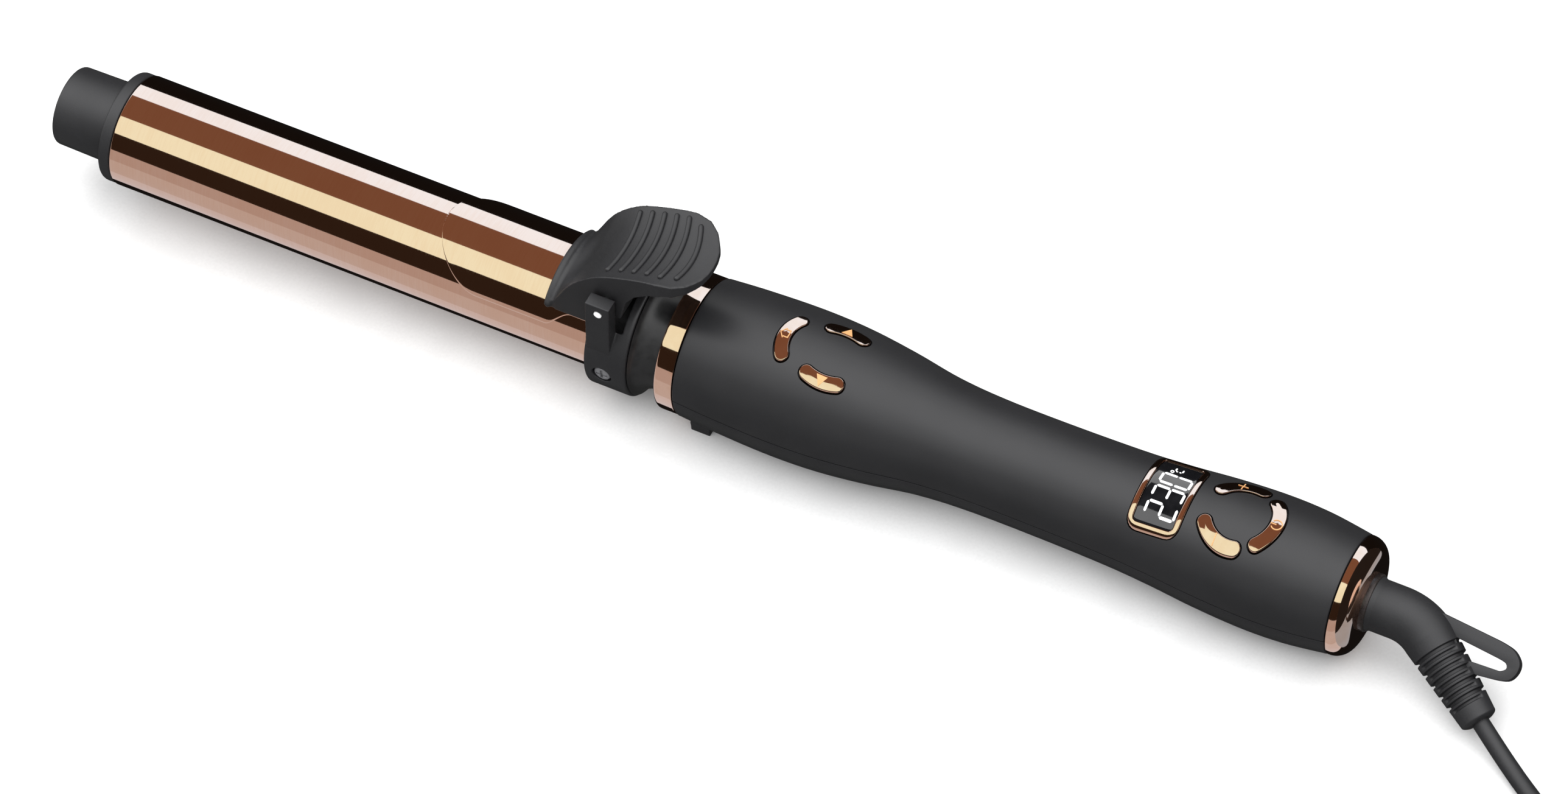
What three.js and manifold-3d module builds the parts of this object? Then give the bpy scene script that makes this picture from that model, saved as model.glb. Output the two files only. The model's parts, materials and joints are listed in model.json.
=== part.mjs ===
// Auto-rotating curling iron: heated barrel with clamp, motor-driven inside a two-shell handle.
// Millimetres. The iron is drawn with X from the tip to the cord, X = 0 at the handle's front edge
// and Z up through the buttons, then it is laid on the table (z = 0) as it rests when put down.
import * as THREE from 'three';
import { mergeVertices } from 'three/addons/utils/BufferGeometryUtils.js';
import Module from 'manifold-3d';

const wasm = await Module();
wasm.setup();

// Clearances
const GAP = 0.3;               // between pieces that touch or sit beside each other
const RUNNING = 0.05;          // radial play of a pin in the hole that holds it
const TURNING = 0.12;          // radial play of a faceted bore that turns on a faceted pin

// Barrel, tip and clamp
const BARREL_R = 16.05;
const BARREL_WALL = 1.1;
const SPREADER_CORE_R = 4.6;   // lengthwise hole in each heat spreader
const BARREL_LENGTH = 152;
const TIP_LENGTH = 17.3;
const TIP_R = 11.4;
const FLANGE_R = BARREL_R - 0.15;
const FLANGE_WIDTH = 3.7;
const CLAMP_LENGTH = 48.4;
const CLAMP_WALL = 0.8;
const CLAMP_HALF_WIDTH = BARREL_R - 0.45;

// Collar that carries the clamp hinge
const COLLAR_WALL = 3.25;
const COLLAR_R = BARREL_R + GAP + COLLAR_WALL;
const COLLAR_FRONT = -27;
const COLLAR_WIDTH = 12.6;
const COLLAR_RIM = 2.6;
const HINGE_X = COLLAR_FRONT + 5.4;
const HINGE_Z = BARREL_R + 8.75;
const HINGE_PIN_R = 1.1;
const LEVER_HALF_WIDTH = 13.3;
const LEVER_REACH = 26.9;      // from the hinge to the lever's end
const EAR_INSIDE = LEVER_HALF_WIDTH + 0.7;
const EAR_OUTSIDE = EAR_INSIDE + 4;
const EAR_TOP = HINGE_Z + 3.6;
const COLLAR_SCREW_R = 2.5;

// Neck, bearing and drive
const NECK_R = 14.6;
const SHAFT_R = 8.5;
const HUB_R = 4.8;
const WIRE_BORE_R = 3.2;
const BEARING_FRONT = 9;
const BEARING_PLATE = 2.5;
const BEARING_LENGTH = 6;
const GEAR_MODULE = 0.8;
const GEAR_TEETH = 16;
const PINION_TEETH = 8;
const GEAR_WIDTH = 6;
const GEAR_FRONT = 20;
const MOTOR_LENGTH = 24;
const MOTOR_WIDTH = 12;
const MOTOR_HEIGHT = 10;
const MOTOR_SHAFT_R = 1.5;

// Handle: radius of the outer skin at places measured from its front and from its rear
const HANDLE_LENGTH = 190.5;
const WALL = 2.2;
const RING_WIDTH = 5.9;
const GEAR_CENTRES = GEAR_MODULE * (GEAR_TEETH + PINION_TEETH) / 2;
const BELLY_R = GEAR_CENTRES + MOTOR_HEIGHT / 2 + 6.4;      // room below the motor for the stand's pocket
const FRONT_STATIONS = [[0, BELLY_R - 1.3], [12, BELLY_R - 0.5], [28, BELLY_R], [42, BELLY_R - 0.5],
  [56, BELLY_R - 2.1], [70, 16.7], [84, 15.75]];
const REAR_STATIONS = [[88, 15.62], [66, 16], [52, 16.8], [38, 18.05], [24, 18.7], [12, 18.3], [0, 16.75]];
const SEAM = 0.3;

// Display and boards, places along the handle measured from its rear edge
const DISPLAY_FROM_REAR = 52.35;
const BEZEL_LENGTH = 14.7;
const BEZEL_HALF_WIDTH = 12.1;
const BEZEL_BAND = 1.55;
const REAR_PAD_FROM_REAR = 31.1;
const FRONT_BOARD_Z = 11.4;
const REAR_BOARD_Z = 6.5;
const BOARD_THICK = 1.5;

// Buttons: bands bent round a centre; travel is inward along Z
const BUTTON_HALF_WIDTH = 1.93;
const BUTTON_PROUD = 0.5;
const BUTTON_GAP = 0.4;
const BUTTON_LIP = 0.4;
const BUTTON_TRAVEL = 0.6;
const FRONT_BUTTON_FLOOR = 16;
const REAR_BUTTON_FLOOR = 12;

// Fold-out stand under the front of the handle
const STAND_X = 3.6;
const STAND_Z = -(BELLY_R - 2.1);
const STAND_LENGTH = 42;
const STAND_HALF_WIDTH = 12.1;
const STAND_THICK = 2.1;
const KNUCKLE_R = 2.7;
const LUG_R = 3;
const KNUCKLE_HALF_WIDTH = 8.3;
const STAND_PIN_R = 1;

// End cap, cord swivel and strain relief
const CAP_LENGTH = 5.7;
const CAP_WALL = 1.8;
const SWIVEL_R = 6.2;
const SWIVEL_NECK_R = 4.3;
const RELIEF_R = 7.2;
const RELIEF_CORNER = 14;      // straight length before the bend's corner
const RELIEF_BEND_R = 17;
const RELIEF_TAIL = 31.3;      // from the corner to the end
const RELIEF_END_R = 5;
const RELIEF_AZIMUTH = 33;     // degrees towards -Y
const RELIEF_DROP = 20;        // degrees below the table's level
const LOOP_THICK = 4;

// Cord, coil, tie and plug
const CORD_R = 2.4;
const CORD_LIE = CORD_R + 0.1;  // height of the cord's axis where it lies on the table
const COIL_MEAN_R = 27.6;
const COIL_TURNS_ACROSS = 3;
const COIL_LAYERS = 4;
const COIL_PITCH = 4.95;
const COIL_LIFT = 1.2;
const TIE_THICK = 0.8;
const TIE_WIDTH = 6;
const PLUG_LENGTH = 26;
const PLUG_WIDTH = 24;
const PLUG_HEIGHT = 15;
const BLADE_SPACING = 12.7;

const DEG = Math.PI / 180;
const ROUND = 28;              // facets round a large diameter
const FINE = 12;               // facets round a small one

// ---- solids ----

// A closed geometry as a solid with its faces pointing out.
function solid(geometry) {
  const bare = geometry.clone();
  bare.deleteAttribute('normal');
  bare.deleteAttribute('uv');
  const merged = mergeVertices(bare, 1e-4);
  const place = merged.attributes.position;
  const source = merged.index.array;
  const faces = [];
  let volume = 0;
  const corner = [0, 1, 2].map(() => new THREE.Vector3());
  for (let i = 0; i < source.length; i += 3) {
    const [a, b, c] = [source[i], source[i + 1], source[i + 2]];
    if (a === b || b === c || c === a) continue;
    [a, b, c].forEach((v, k) => corner[k].fromBufferAttribute(place, v));
    volume += corner[0].dot(corner[1].clone().cross(corner[2]));
    faces.push(a, b, c);
  }
  if (volume < 0) faces.reverse();
  return new wasm.Manifold(new wasm.Mesh({
    numProp: 3,
    vertProperties: new Float32Array(place.array),
    triVerts: new Uint32Array(faces),
  }));
}

function geometryOf(shape) {
  const mesh = shape.getMesh();
  const geometry = new THREE.BufferGeometry();
  geometry.setAttribute('position', new THREE.BufferAttribute(new Float32Array(mesh.vertProperties), 3));
  geometry.setIndex(new THREE.BufferAttribute(new Uint32Array(mesh.triVerts), 1));
  geometry.computeVertexNormals();
  return geometry;
}

const join = (first, ...rest) => rest.reduce((sum, piece) => sum.add(piece), first);
const cut = (first, ...rest) => rest.reduce((left, piece) => left.subtract(piece), first);

// A profile of [x, radius] points turned round the X axis; it starts and ends on the axis or closes.
function turned(profile, segments = ROUND) {
  const points = profile.map(([x, r]) => new THREE.Vector2(r, x));
  if (profile[0][1] > 0) points.push(points[0].clone());
  return solid(new THREE.LatheGeometry(points, segments).rotateZ(-Math.PI / 2));
}

const tube = (from, to, inner, outer, segments = ROUND) =>
  turned([[from, inner], [from, outer], [to, outer], [to, inner]], segments);
const rod = (from, to, r, segments = FINE) =>
  turned([[from, 0], [from, r], [to, r], [to, 0]], segments);

function outline(points) {
  return new THREE.Shape(points.map(([a, b]) => new THREE.Vector2(a, b)));
}

function rectangle(a0, a1, b0, b1, corner = 0) {
  if (!corner) return outline([[a0, b0], [a1, b0], [a1, b1], [a0, b1]]);
  const shape = new THREE.Shape();
  shape.absarc(a1 - corner, b1 - corner, corner, 0, Math.PI / 2);
  shape.absarc(a0 + corner, b1 - corner, corner, Math.PI / 2, Math.PI);
  shape.absarc(a0 + corner, b0 + corner, corner, Math.PI, 1.5 * Math.PI);
  shape.absarc(a1 - corner, b0 + corner, corner, 1.5 * Math.PI, 2 * Math.PI);
  return shape;
}

// A band of even width bent round (cx, cy), with round ends.
function bentBand({ cx, cy = 0, radius, middle, half }, halfWidth) {
  const [from, to] = [(middle - half) * DEG, (middle + half) * DEG];
  const shape = new THREE.Shape();
  shape.absarc(cx, cy, radius + halfWidth, from, to, false);
  shape.absarc(cx + radius * Math.cos(to), cy + radius * Math.sin(to), halfWidth, to, to + Math.PI, false);
  shape.absarc(cx, cy, radius - halfWidth, to, from, true);
  shape.absarc(cx + radius * Math.cos(from), cy + radius * Math.sin(from), halfWidth,
    from + Math.PI, from + 2 * Math.PI, false);
  return shape;
}

function prism(shape, from, to, basis, curveSegments = 4) {
  const geometry = new THREE.ExtrudeGeometry(shape, { depth: to - from, bevelEnabled: false, curveSegments });
  geometry.translate(0, 0, from);
  return solid(geometry.applyMatrix4(new THREE.Matrix4().makeBasis(...basis)));
}

const [AX, AY, AZ] = [[1, 0, 0], [0, 1, 0], [0, 0, 1]].map((v) => new THREE.Vector3(...v));
const prismX = (shape, from, to, segments) => prism(shape, from, to, [AY, AZ, AX], segments);   // (y, z)
const prismY = (shape, from, to, segments) =>
  prism(shape, -to, -from, [AX, AZ, AY.clone().negate()], segments);                            // (x, z)
const prismZ = (shape, from, to, segments) => prism(shape, from, to, [AX, AY, AZ], segments);   // (x, y)
const block = (x0, x1, y0, y1, z0, z1) => prismZ(rectangle(x0, x1, y0, y1), z0, z1);

function rodY(x, z, r, from, to, segments = FINE) {
  const geometry = new THREE.CylinderGeometry(r, r, to - from, segments);
  return solid(geometry.translate(x, (from + to) / 2, z));
}

function rodZ(x, y, r, from, to, segments = FINE) {
  const geometry = new THREE.CylinderGeometry(r, r, to - from, segments).rotateX(Math.PI / 2);
  return solid(geometry.translate(x, y, (from + to) / 2));
}

function sweep(curve, r, steps, sides) {
  const section = new THREE.Shape();
  section.absarc(0, 0, r, 0, 2 * Math.PI);
  return solid(new THREE.ExtrudeGeometry(section, {
    extrudePath: curve, steps, bevelEnabled: false, curveSegments: sides,
  }));
}

// ---- materials and scene graph ----

const finish = (color, roughness, metalness = 0) => () =>
  new THREE.MeshStandardMaterial({ color, roughness, metalness });
const ROSE_GOLD = finish('#c9906c', 0.12, 1);
const BLACK_SOFT = finish('#2c2c2e', 0.5);
const BLACK_SATIN = finish('#242426', 0.38);
const RUBBER = finish('#232325', 0.6);
const STEEL = finish('#b9bcc0', 0.3, 1);
const ALUMINIUM = finish('#b4b6b8', 0.45, 1);
const BRASS = finish('#c9a54e', 0.35, 1);
const CERAMIC = finish('#e8e4da', 0.6);
const ACETAL = finish('#e9e7df', 0.45);
const BOARD = finish('#1f5a36', 0.5);
const GLASS = finish('#101012', 0.08);

const iron = new THREE.Group();

function add(name, shape, material, parent = iron) {
  const mesh = new THREE.Mesh(geometryOf(shape), material());
  mesh.name = name;
  parent.add(mesh);
  return mesh;
}

// ---- handle skin ----

const skinCurve = new THREE.SplineCurve([
  ...FRONT_STATIONS,
  ...REAR_STATIONS.map(([back, r]) => [HANDLE_LENGTH - back, r]),
].map(([x, r]) => new THREE.Vector2(x, r)));
const SKIN = skinCurve.getPoints(16).map((p) => [p.x, p.y]);

function skinRadius(x) {
  const k = Math.max(1, SKIN.findIndex(([at]) => at >= x));
  const [[x0, r0], [x1, r1]] = [SKIN[k - 1], SKIN[k]];
  return r0 + (r1 - r0) * (x - x0) / (x1 - x0);
}

// The skin's profile between two places, moved in or out by offset.
function skinProfile(offset, from, to) {
  const inside = SKIN.filter(([x]) => x > from + 0.2 && x < to - 0.2);
  return [[from, skinRadius(from)], ...inside, [to, skinRadius(to)]].map(([x, r]) => [x, r + offset]);
}

const skinSolid = (offset, from = 0, to = HANDLE_LENGTH) =>
  turned([[from, 0], ...skinProfile(offset, from, to), [to, 0]]);
const skinShell = (outer, inner, from = 0, to = HANDLE_LENGTH) =>
  turned([...skinProfile(outer, from, to), ...skinProfile(inner, from, to).reverse()]);

// ---- buttons and display ----

const PAD_X = HANDLE_LENGTH - REAR_PAD_FROM_REAR;
const SIDE_BUTTON = { cx: 40.15, cy: -4.95, radius: 13.65, middle: 90, half: 19.6 };
const BUTTONS = {
  home_button: { cx: 36.4, radius: 10.9, middle: 180, half: 32.8, floor: FRONT_BUTTON_FLOOR },
  up_button: { ...SIDE_BUTTON, floor: FRONT_BUTTON_FLOOR },
  down_button: { ...SIDE_BUTTON, cy: -SIDE_BUTTON.cy, middle: -90, floor: FRONT_BUTTON_FLOOR },
  plus_button: { cx: PAD_X, radius: 9.95, middle: 112.5, half: 33.5, floor: REAR_BUTTON_FLOOR },
  minus_button: { cx: PAD_X, radius: 9.95, middle: -112.5, half: 33.5, floor: REAR_BUTTON_FLOOR },
  power_button: { cx: PAD_X, radius: 9.95, middle: 0, half: 45, floor: REAR_BUTTON_FLOOR },
};
const SKY = 30;                // above everything on the handle

function buttonMiddle({ cx, cy = 0, radius, middle }) {
  return [cx + radius * Math.cos(middle * DEG), cy + radius * Math.sin(middle * DEG)];
}

function addButtons() {
  const outside = skinSolid(BUTTON_PROUD);
  const underSkin = skinSolid(-WALL - GAP - 0.1);
  for (const [name, band] of Object.entries(BUTTONS)) {
    const cap = prismZ(bentBand(band, BUTTON_HALF_WIDTH), band.floor, SKY).intersect(outside);
    const lip = prismZ(bentBand(band, BUTTON_HALF_WIDTH + BUTTON_GAP + BUTTON_LIP), band.floor, SKY);
    add(name, cap.add(lip.intersect(underSkin)), ROSE_GOLD);
  }
}

const DISPLAY_X = HANDLE_LENGTH - DISPLAY_FROM_REAR;
const bezelOutline = (grow, corner) => rectangle(DISPLAY_X - BEZEL_LENGTH / 2 - grow,
  DISPLAY_X + BEZEL_LENGTH / 2 + grow, -BEZEL_HALF_WIDTH - grow, BEZEL_HALF_WIDTH + grow, corner);

function addDisplay() {
  const [from, to] = [DISPLAY_X - 12, DISPLAY_X + 12];
  const depth = (outer, inner) => skinShell(outer, inner, from, to);
  const frame = prismZ(bezelOutline(0, 2), 0, SKY).subtract(prismZ(bezelOutline(-BEZEL_BAND, 1), 0, SKY));
  add('display_bezel', frame.intersect(depth(0.35, -WALL)), ROSE_GOLD);
  const pane = prismZ(bezelOutline(-BEZEL_BAND - GAP, 0.8), 0, SKY);
  add('display_window', pane.intersect(depth(0.1, -1.6)), GLASS);
  const half = BEZEL_LENGTH / 2 - BEZEL_BAND - 0.2;
  const module = block(DISPLAY_X - half, DISPLAY_X + half, -9.4, 9.4, REAR_BOARD_Z + BOARD_THICK + GAP, SKY);
  add('display_module', module.intersect(skinSolid(-1.6 - GAP - 0.1, from, to)), BLACK_SATIN);
}

// ---- handle shells ----

const POCKET = { from: 0.1, to: STAND_X + STAND_LENGTH + 0.6, half: STAND_HALF_WIDTH + GAP };

function standPocket() {
  const trough = skinShell(3, -STAND_THICK - 0.4, -2, POCKET.to)
    .intersect(block(-1, POCKET.to, -POCKET.half, POCKET.half, -SKY, 0));
  return join(trough, rodY(STAND_X, STAND_Z, LUG_R + 0.5, -POCKET.half, POCKET.half),
    block(-1, STAND_X, -KNUCKLE_HALF_WIDTH - GAP, KNUCKLE_HALF_WIDTH + GAP, -SKY, STAND_Z + KNUCKLE_R));
}

// The foot is flat and level with the table when the iron is put down.
const FOOT_Z = STAND_Z - LUG_R;
const REST_TILT = Math.min(...SKIN.filter(([x]) => x > STAND_X + 60)
  .map(([x, r]) => Math.atan2(-FOOT_Z - r, x - STAND_X)));

function standLug(side) {
  const outer = POCKET.half + 0.3;
  const span = [KNUCKLE_HALF_WIDTH + GAP, outer].map((y) => y * side).sort((a, b) => a - b);
  const top = 1.8 - Math.sqrt(skinRadius(STAND_X) ** 2 - outer ** 2);      // reaches into the shell's wall
  const lug = block(STAND_X - LUG_R + 0.1, STAND_X + LUG_R - 0.1, ...span, FOOT_Z - 1, top);
  const reach = 3 * LUG_R;
  const foot = block(-reach, reach, -SKY, SKY, -reach, 0);
  return cut(lug, foot.rotate([0, REST_TILT / -DEG, 0]).translate([STAND_X, 0, FOOT_Z]));
}

const SCREW_HEAD_R = 2.5;
const SCREW_SINK_R = SCREW_HEAD_R + 0.4;
const SCREW_HEAD = 1.4;

// Each seat is deep enough for the whole head to lie under the skin.
function shellScrewPlaces() {
  const rearX = HANDLE_LENGTH - 18;
  return [[60, 5], [60, -5], [rearX, 5.5], [rearX, -5.5]].map(([x, y]) => {
    const rim = Math.sqrt(skinRadius(x) ** 2 - (Math.abs(y) + SCREW_SINK_R) ** 2);
    return { x, y, seat: SCREW_HEAD + 0.2 - rim };
  });
}

function addShells() {
  const skin = skinShell(0, -WALL);
  const upperHalf = block(-1, HANDLE_LENGTH + 1, -SKY, SKY, SEAM / 2, SKY);
  const lowerHalf = block(-1, HANDLE_LENGTH + 1, -SKY, SKY, -SKY, -SEAM / 2);
  const holes = Object.values(BUTTONS).map((band) =>
    prismZ(bentBand(band, BUTTON_HALF_WIDTH + BUTTON_GAP), 8, SKY));
  const displayHole = prismZ(bezelOutline(GAP, 2.3), 5, SKY);
  add('handle_shell_upper', cut(skin.intersect(upperHalf), displayHole, ...holes), BLACK_SOFT);

  const floor = skinShell(-0.5, -STAND_THICK - 1.4, 0.4, POCKET.to + 1.5)
    .intersect(block(-1, POCKET.to + 1.5, -POCKET.half - 1.5, POCKET.half + 1.5, -SKY, -5));
  const boss = rodY(STAND_X, STAND_Z, LUG_R + 1.4, -POCKET.half - 1, POCKET.half + 1)
    .intersect(skinSolid(-0.5, 0.4, 20));
  const screwBosses = shellScrewPlaces().map(({ x, y, seat }) =>
    rodZ(x, y, SCREW_SINK_R + 1.4, -SKY, seat + 1.6).intersect(skinSolid(-0.5)));
  let lower = join(skin.intersect(lowerHalf), floor, boss, ...screwBosses).subtract(standPocket());
  lower = join(lower, standLug(1), standLug(-1));
  const screwHoles = shellScrewPlaces().flatMap(({ x, y, seat }) => [
    rodZ(x, y, 1.4, -SKY, -2), rodZ(x, y, SCREW_SINK_R, -SKY, seat)]);
  const pinHole = rodY(STAND_X, STAND_Z, STAND_PIN_R + RUNNING, -SKY, SKY);
  add('handle_shell_lower', cut(lower, pinHole, ...screwHoles), BLACK_SOFT);

  shellScrewPlaces().forEach(({ x, y, seat }, i) => {
    const head = rodZ(x, y, SCREW_HEAD_R, seat - SCREW_HEAD, seat, 16);
    add(`shell_screw_${i + 1}`, head.add(rodZ(x, y, 1.1, seat - 1, seat + 4.5, 12)), STEEL);
  });
}

function addStand() {
  const plateFrom = STAND_X + LUG_R + 1.7;                     // clears the lugs as it swings out
  const plate = skinShell(-0.1, -STAND_THICK, plateFrom, STAND_X + STAND_LENGTH)
    .intersect(block(0, STAND_X + STAND_LENGTH, -STAND_HALF_WIDTH, STAND_HALF_WIDTH, -SKY, -9));
  const knuckle = rodY(STAND_X, STAND_Z, KNUCKLE_R, -KNUCKLE_HALF_WIDTH, KNUCKLE_HALF_WIDTH);
  const web = block(STAND_X, plateFrom + 1.5, -KNUCKLE_HALF_WIDTH, KNUCKLE_HALF_WIDTH, STAND_Z - 2.4,
    STAND_Z + 1)
    .intersect(skinSolid(-0.1, 0, 20));
  const window = prismZ(rectangle(STAND_X + 12, STAND_X + STAND_LENGTH - 10, -5.5, 5.5, 3), -SKY, 0);
  const bore = rodY(STAND_X, STAND_Z, STAND_PIN_R + TURNING, -SKY, SKY);
  add('stand', cut(join(plate, knuckle, web), window, bore), BLACK_SATIN);
  add('stand_pin', rodY(STAND_X, STAND_Z, STAND_PIN_R, -POCKET.half - 0.1, POCKET.half + 0.1), STEEL);
}

// ---- rotating head: tip, barrel, heater, collar, neck ----

const BARREL_REAR = COLLAR_FRONT + 2;
const BARREL_FRONT = BARREL_REAR - BARREL_LENGTH;
const BARREL_BORE = BARREL_R - BARREL_WALL;
const COLLAR_REAR = COLLAR_FRONT + COLLAR_WIDTH;

function addTip() {
  const face = BARREL_FRONT - GAP;
  const flange = face - FLANGE_WIDTH;
  const end = flange - TIP_LENGTH;
  const plug = BARREL_BORE - GAP;
  add('cool_tip', turned([
    [end, 0], [end, TIP_R - 2.4], [end + 0.5, TIP_R - 1.4], [end + 1.6, TIP_R - 1], [flange - 0.8, TIP_R],
    [flange, TIP_R + 0.5], [flange, FLANGE_R - 1], [flange + 1, FLANGE_R], [face, FLANGE_R],
    [face, plug], [face + 6.5, plug], [face + 6.5, 0],
  ]), BLACK_SATIN);
}

const CORE = { from: BARREL_FRONT + 9, to: BARREL_REAR - 13, slot: 2.2 };

function addHeater() {
  const r = BARREL_BORE - GAP;
  for (const [name, side] of [['heat_spreader_upper', 1], ['heat_spreader_lower', -1]]) {
    const half = rod(CORE.from, CORE.to, r, ROUND)
      .intersect(block(CORE.from - 1, CORE.to + 1, -SKY, SKY, ...(side > 0 ? [0.8, SKY] : [-SKY, -0.8])));
    const slot = block(CORE.from - 1, CORE.to + 1, -7.6, 7.6, -CORE.slot, CORE.slot);
    const core = rod(CORE.from - 1, CORE.to + 1, SPREADER_CORE_R)
      .translate([0, 0, side * (CORE.slot + r) / 2]);
    add(name, cut(half, slot, core), ALUMINIUM);
  }
  add('ptc_heater', block(CORE.from + 6, CORE.to - 26, -7, 7, -1.8, 1.8), CERAMIC);
  add('thermistor', rod(CORE.to - 22, CORE.to - 15, 1.2, 12), CERAMIC);
  add('thermal_fuse', rod(CORE.to - 12, CORE.to - 2, 1.6, 12), STEEL);
}

function addBarrel() {
  add('barrel', tube(BARREL_FRONT, BARREL_REAR, BARREL_BORE, BARREL_R), ROSE_GOLD);
}

const NECK_INSIDE = BARREL_BORE - GAP;
const COLLAR_BORE = BARREL_R + GAP;
const RING_FRONT = -GAP - RING_WIDTH + 0.3;
const DRUM = { from: GEAR_FRONT + GEAR_WIDTH + 3.3, to: GEAR_FRONT + GEAR_WIDTH + 14, r: 4.1 };

function addNeck() {
  const hubEnd = DRUM.from - GAP;
  add('neck_sleeve', turned([
    [BARREL_REAR - 9, 11], [BARREL_REAR - 9, NECK_INSIDE], [BARREL_REAR + GAP, NECK_INSIDE],
    [BARREL_REAR + GAP, COLLAR_BORE - GAP], [COLLAR_REAR - 1, COLLAR_BORE - GAP], [COLLAR_REAR, NECK_R],
    [-4, NECK_R], [-4, SHAFT_R], [BEARING_FRONT + BEARING_LENGTH + 2, SHAFT_R],
    [BEARING_FRONT + BEARING_LENGTH + 2, HUB_R], [hubEnd, HUB_R], [hubEnd, WIRE_BORE_R],
    [BEARING_FRONT + BEARING_LENGTH, WIRE_BORE_R], [BEARING_FRONT + BEARING_LENGTH, 5.5], [-8, 5.5], [-8, 11],
  ]), BLACK_SATIN);
}

function collarScrewPlace(side) {
  return { x: (COLLAR_FRONT + COLLAR_REAR) / 2 - 1, y: side * COLLAR_R, z: -1 };
}

function addCollar() {
  const ring = tube(COLLAR_FRONT, COLLAR_REAR, COLLAR_BORE, COLLAR_R);
  const earSide = outline([[0, 0], [1.8, EAR_TOP], [9, EAR_TOP], [7.6, 6], [10, 0]]
    .map(([x, z]) => [COLLAR_FRONT + x, z]));
  const notch = block(COLLAR_FRONT - 1, COLLAR_REAR - COLLAR_RIM, -EAR_INSIDE, EAR_INSIDE, 3, SKY);
  const ears = [1, -1].map((side) => {
    const [inner, outer] = side > 0 ? [EAR_INSIDE, EAR_OUTSIDE] : [-EAR_OUTSIDE, -EAR_INSIDE];
    const ear = prismY(earSide, inner, outer);
    return ear.subtract(rod(COLLAR_FRONT - 1, COLLAR_REAR, COLLAR_BORE, ROUND));
  });
  const screwHoles = [1, -1].map((side) => {
    const { x, z } = collarScrewPlace(side);
    const out = [side * 10, side * (COLLAR_R + 1)].sort((a, b) => a - b);
    const sink = [side * (COLLAR_R - 2), side * (COLLAR_R + 1)].sort((a, b) => a - b);
    return rodY(x, z, 1.4, ...out).add(rodY(x, z, COLLAR_SCREW_R + 0.4, ...sink));
  });
  const pinHole = rodY(HINGE_X, HINGE_Z, HINGE_PIN_R + RUNNING, -SKY, SKY);
  add('collar', cut(join(ring.subtract(notch), ...ears), pinHole, ...screwHoles), BLACK_SATIN);

  for (const [name, side] of [['collar_screw_far', 1], ['collar_screw_near', -1]]) {
    const { x, y, z } = collarScrewPlace(side);
    const head = [y - side * 0.5, y - side * (2 - GAP)].sort((a, b) => a - b);
    const shank = [y - side * 1.5, y - side * (COLLAR_R - COLLAR_BORE - 0.2)].sort((a, b) => a - b);
    const slot = [y - side * 1.1, y + side].sort((a, b) => a - b);
    const cross = [[3.6, 0.8], [0.8, 3.6]].map(([w, h]) =>
      block(x - w / 2, x + w / 2, ...slot, z - h / 2, z + h / 2));
    add(name, cut(rodY(x, z, COLLAR_SCREW_R, ...head), ...cross).add(rodY(x, z, 1.1, ...shank, 12)), STEEL);
  }
  add('hinge_pin', rodY(HINGE_X, HINGE_Z, HINGE_PIN_R, -EAR_OUTSIDE + 0.1, EAR_OUTSIDE - 0.1), STEEL);
}

// ---- clamp, lever and spring ----

const CLAMP_BORE = BARREL_R + GAP;
const CLAMP_R = CLAMP_BORE + CLAMP_WALL;
const CLAMP_REAR = COLLAR_FRONT - 2;
const CLAMP_FRONT = CLAMP_REAR - CLAMP_LENGTH;

function addClampPlate() {
  const w = CLAMP_HALF_WIDTH;
  const shape = new THREE.Shape();
  shape.absarc(CLAMP_FRONT + w, 0, w, Math.PI / 2, 1.5 * Math.PI);
  shape.lineTo(CLAMP_REAR - 11.5, -w);
  const narrow = LEVER_HALF_WIDTH - 0.4;
  shape.bezierCurveTo(CLAMP_REAR - 8, -w, CLAMP_REAR - 8, -narrow, CLAMP_REAR - 4.5, -narrow);
  shape.lineTo(CLAMP_REAR, -narrow);
  shape.lineTo(CLAMP_REAR, narrow);
  shape.lineTo(CLAMP_REAR - 4.5, narrow);
  shape.bezierCurveTo(CLAMP_REAR - 8, narrow, CLAMP_REAR - 8, w, CLAMP_REAR - 11.5, w);
  const spoon = prismZ(shape, 2, SKY, 8);
  add('clamp_plate', tube(CLAMP_FRONT - 1, CLAMP_REAR + 1, CLAMP_BORE, CLAMP_R).intersect(spoon), ROSE_GOLD);
}

// The lever's side view, from the hinge: its top from front to end, then its underside and its foot.
const LEVER_TOP = [[-19.4, -6.6], [-18, -4.6], [-16.4, -4.7], [-14.4, -3.2], [-11.4, 0.6], [-7.9, 4.6],
  [-3.4, 8.2], [2.1, 11.2], [8.6, 13.6], [15.6, 15.2], [21.6, 15.6], [LEVER_REACH, 15.4]];
const LEVER_UNDER = [[LEVER_REACH, 12.5], [18.6, 12], [13.6, 10.4], [9.1, 7], [6.2, 2.8], [4.7, -3.3],
  [4.2, -5.4], [-5, -5.4], [-5.8, -12.8], [-19.4, -12.8]];

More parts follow.
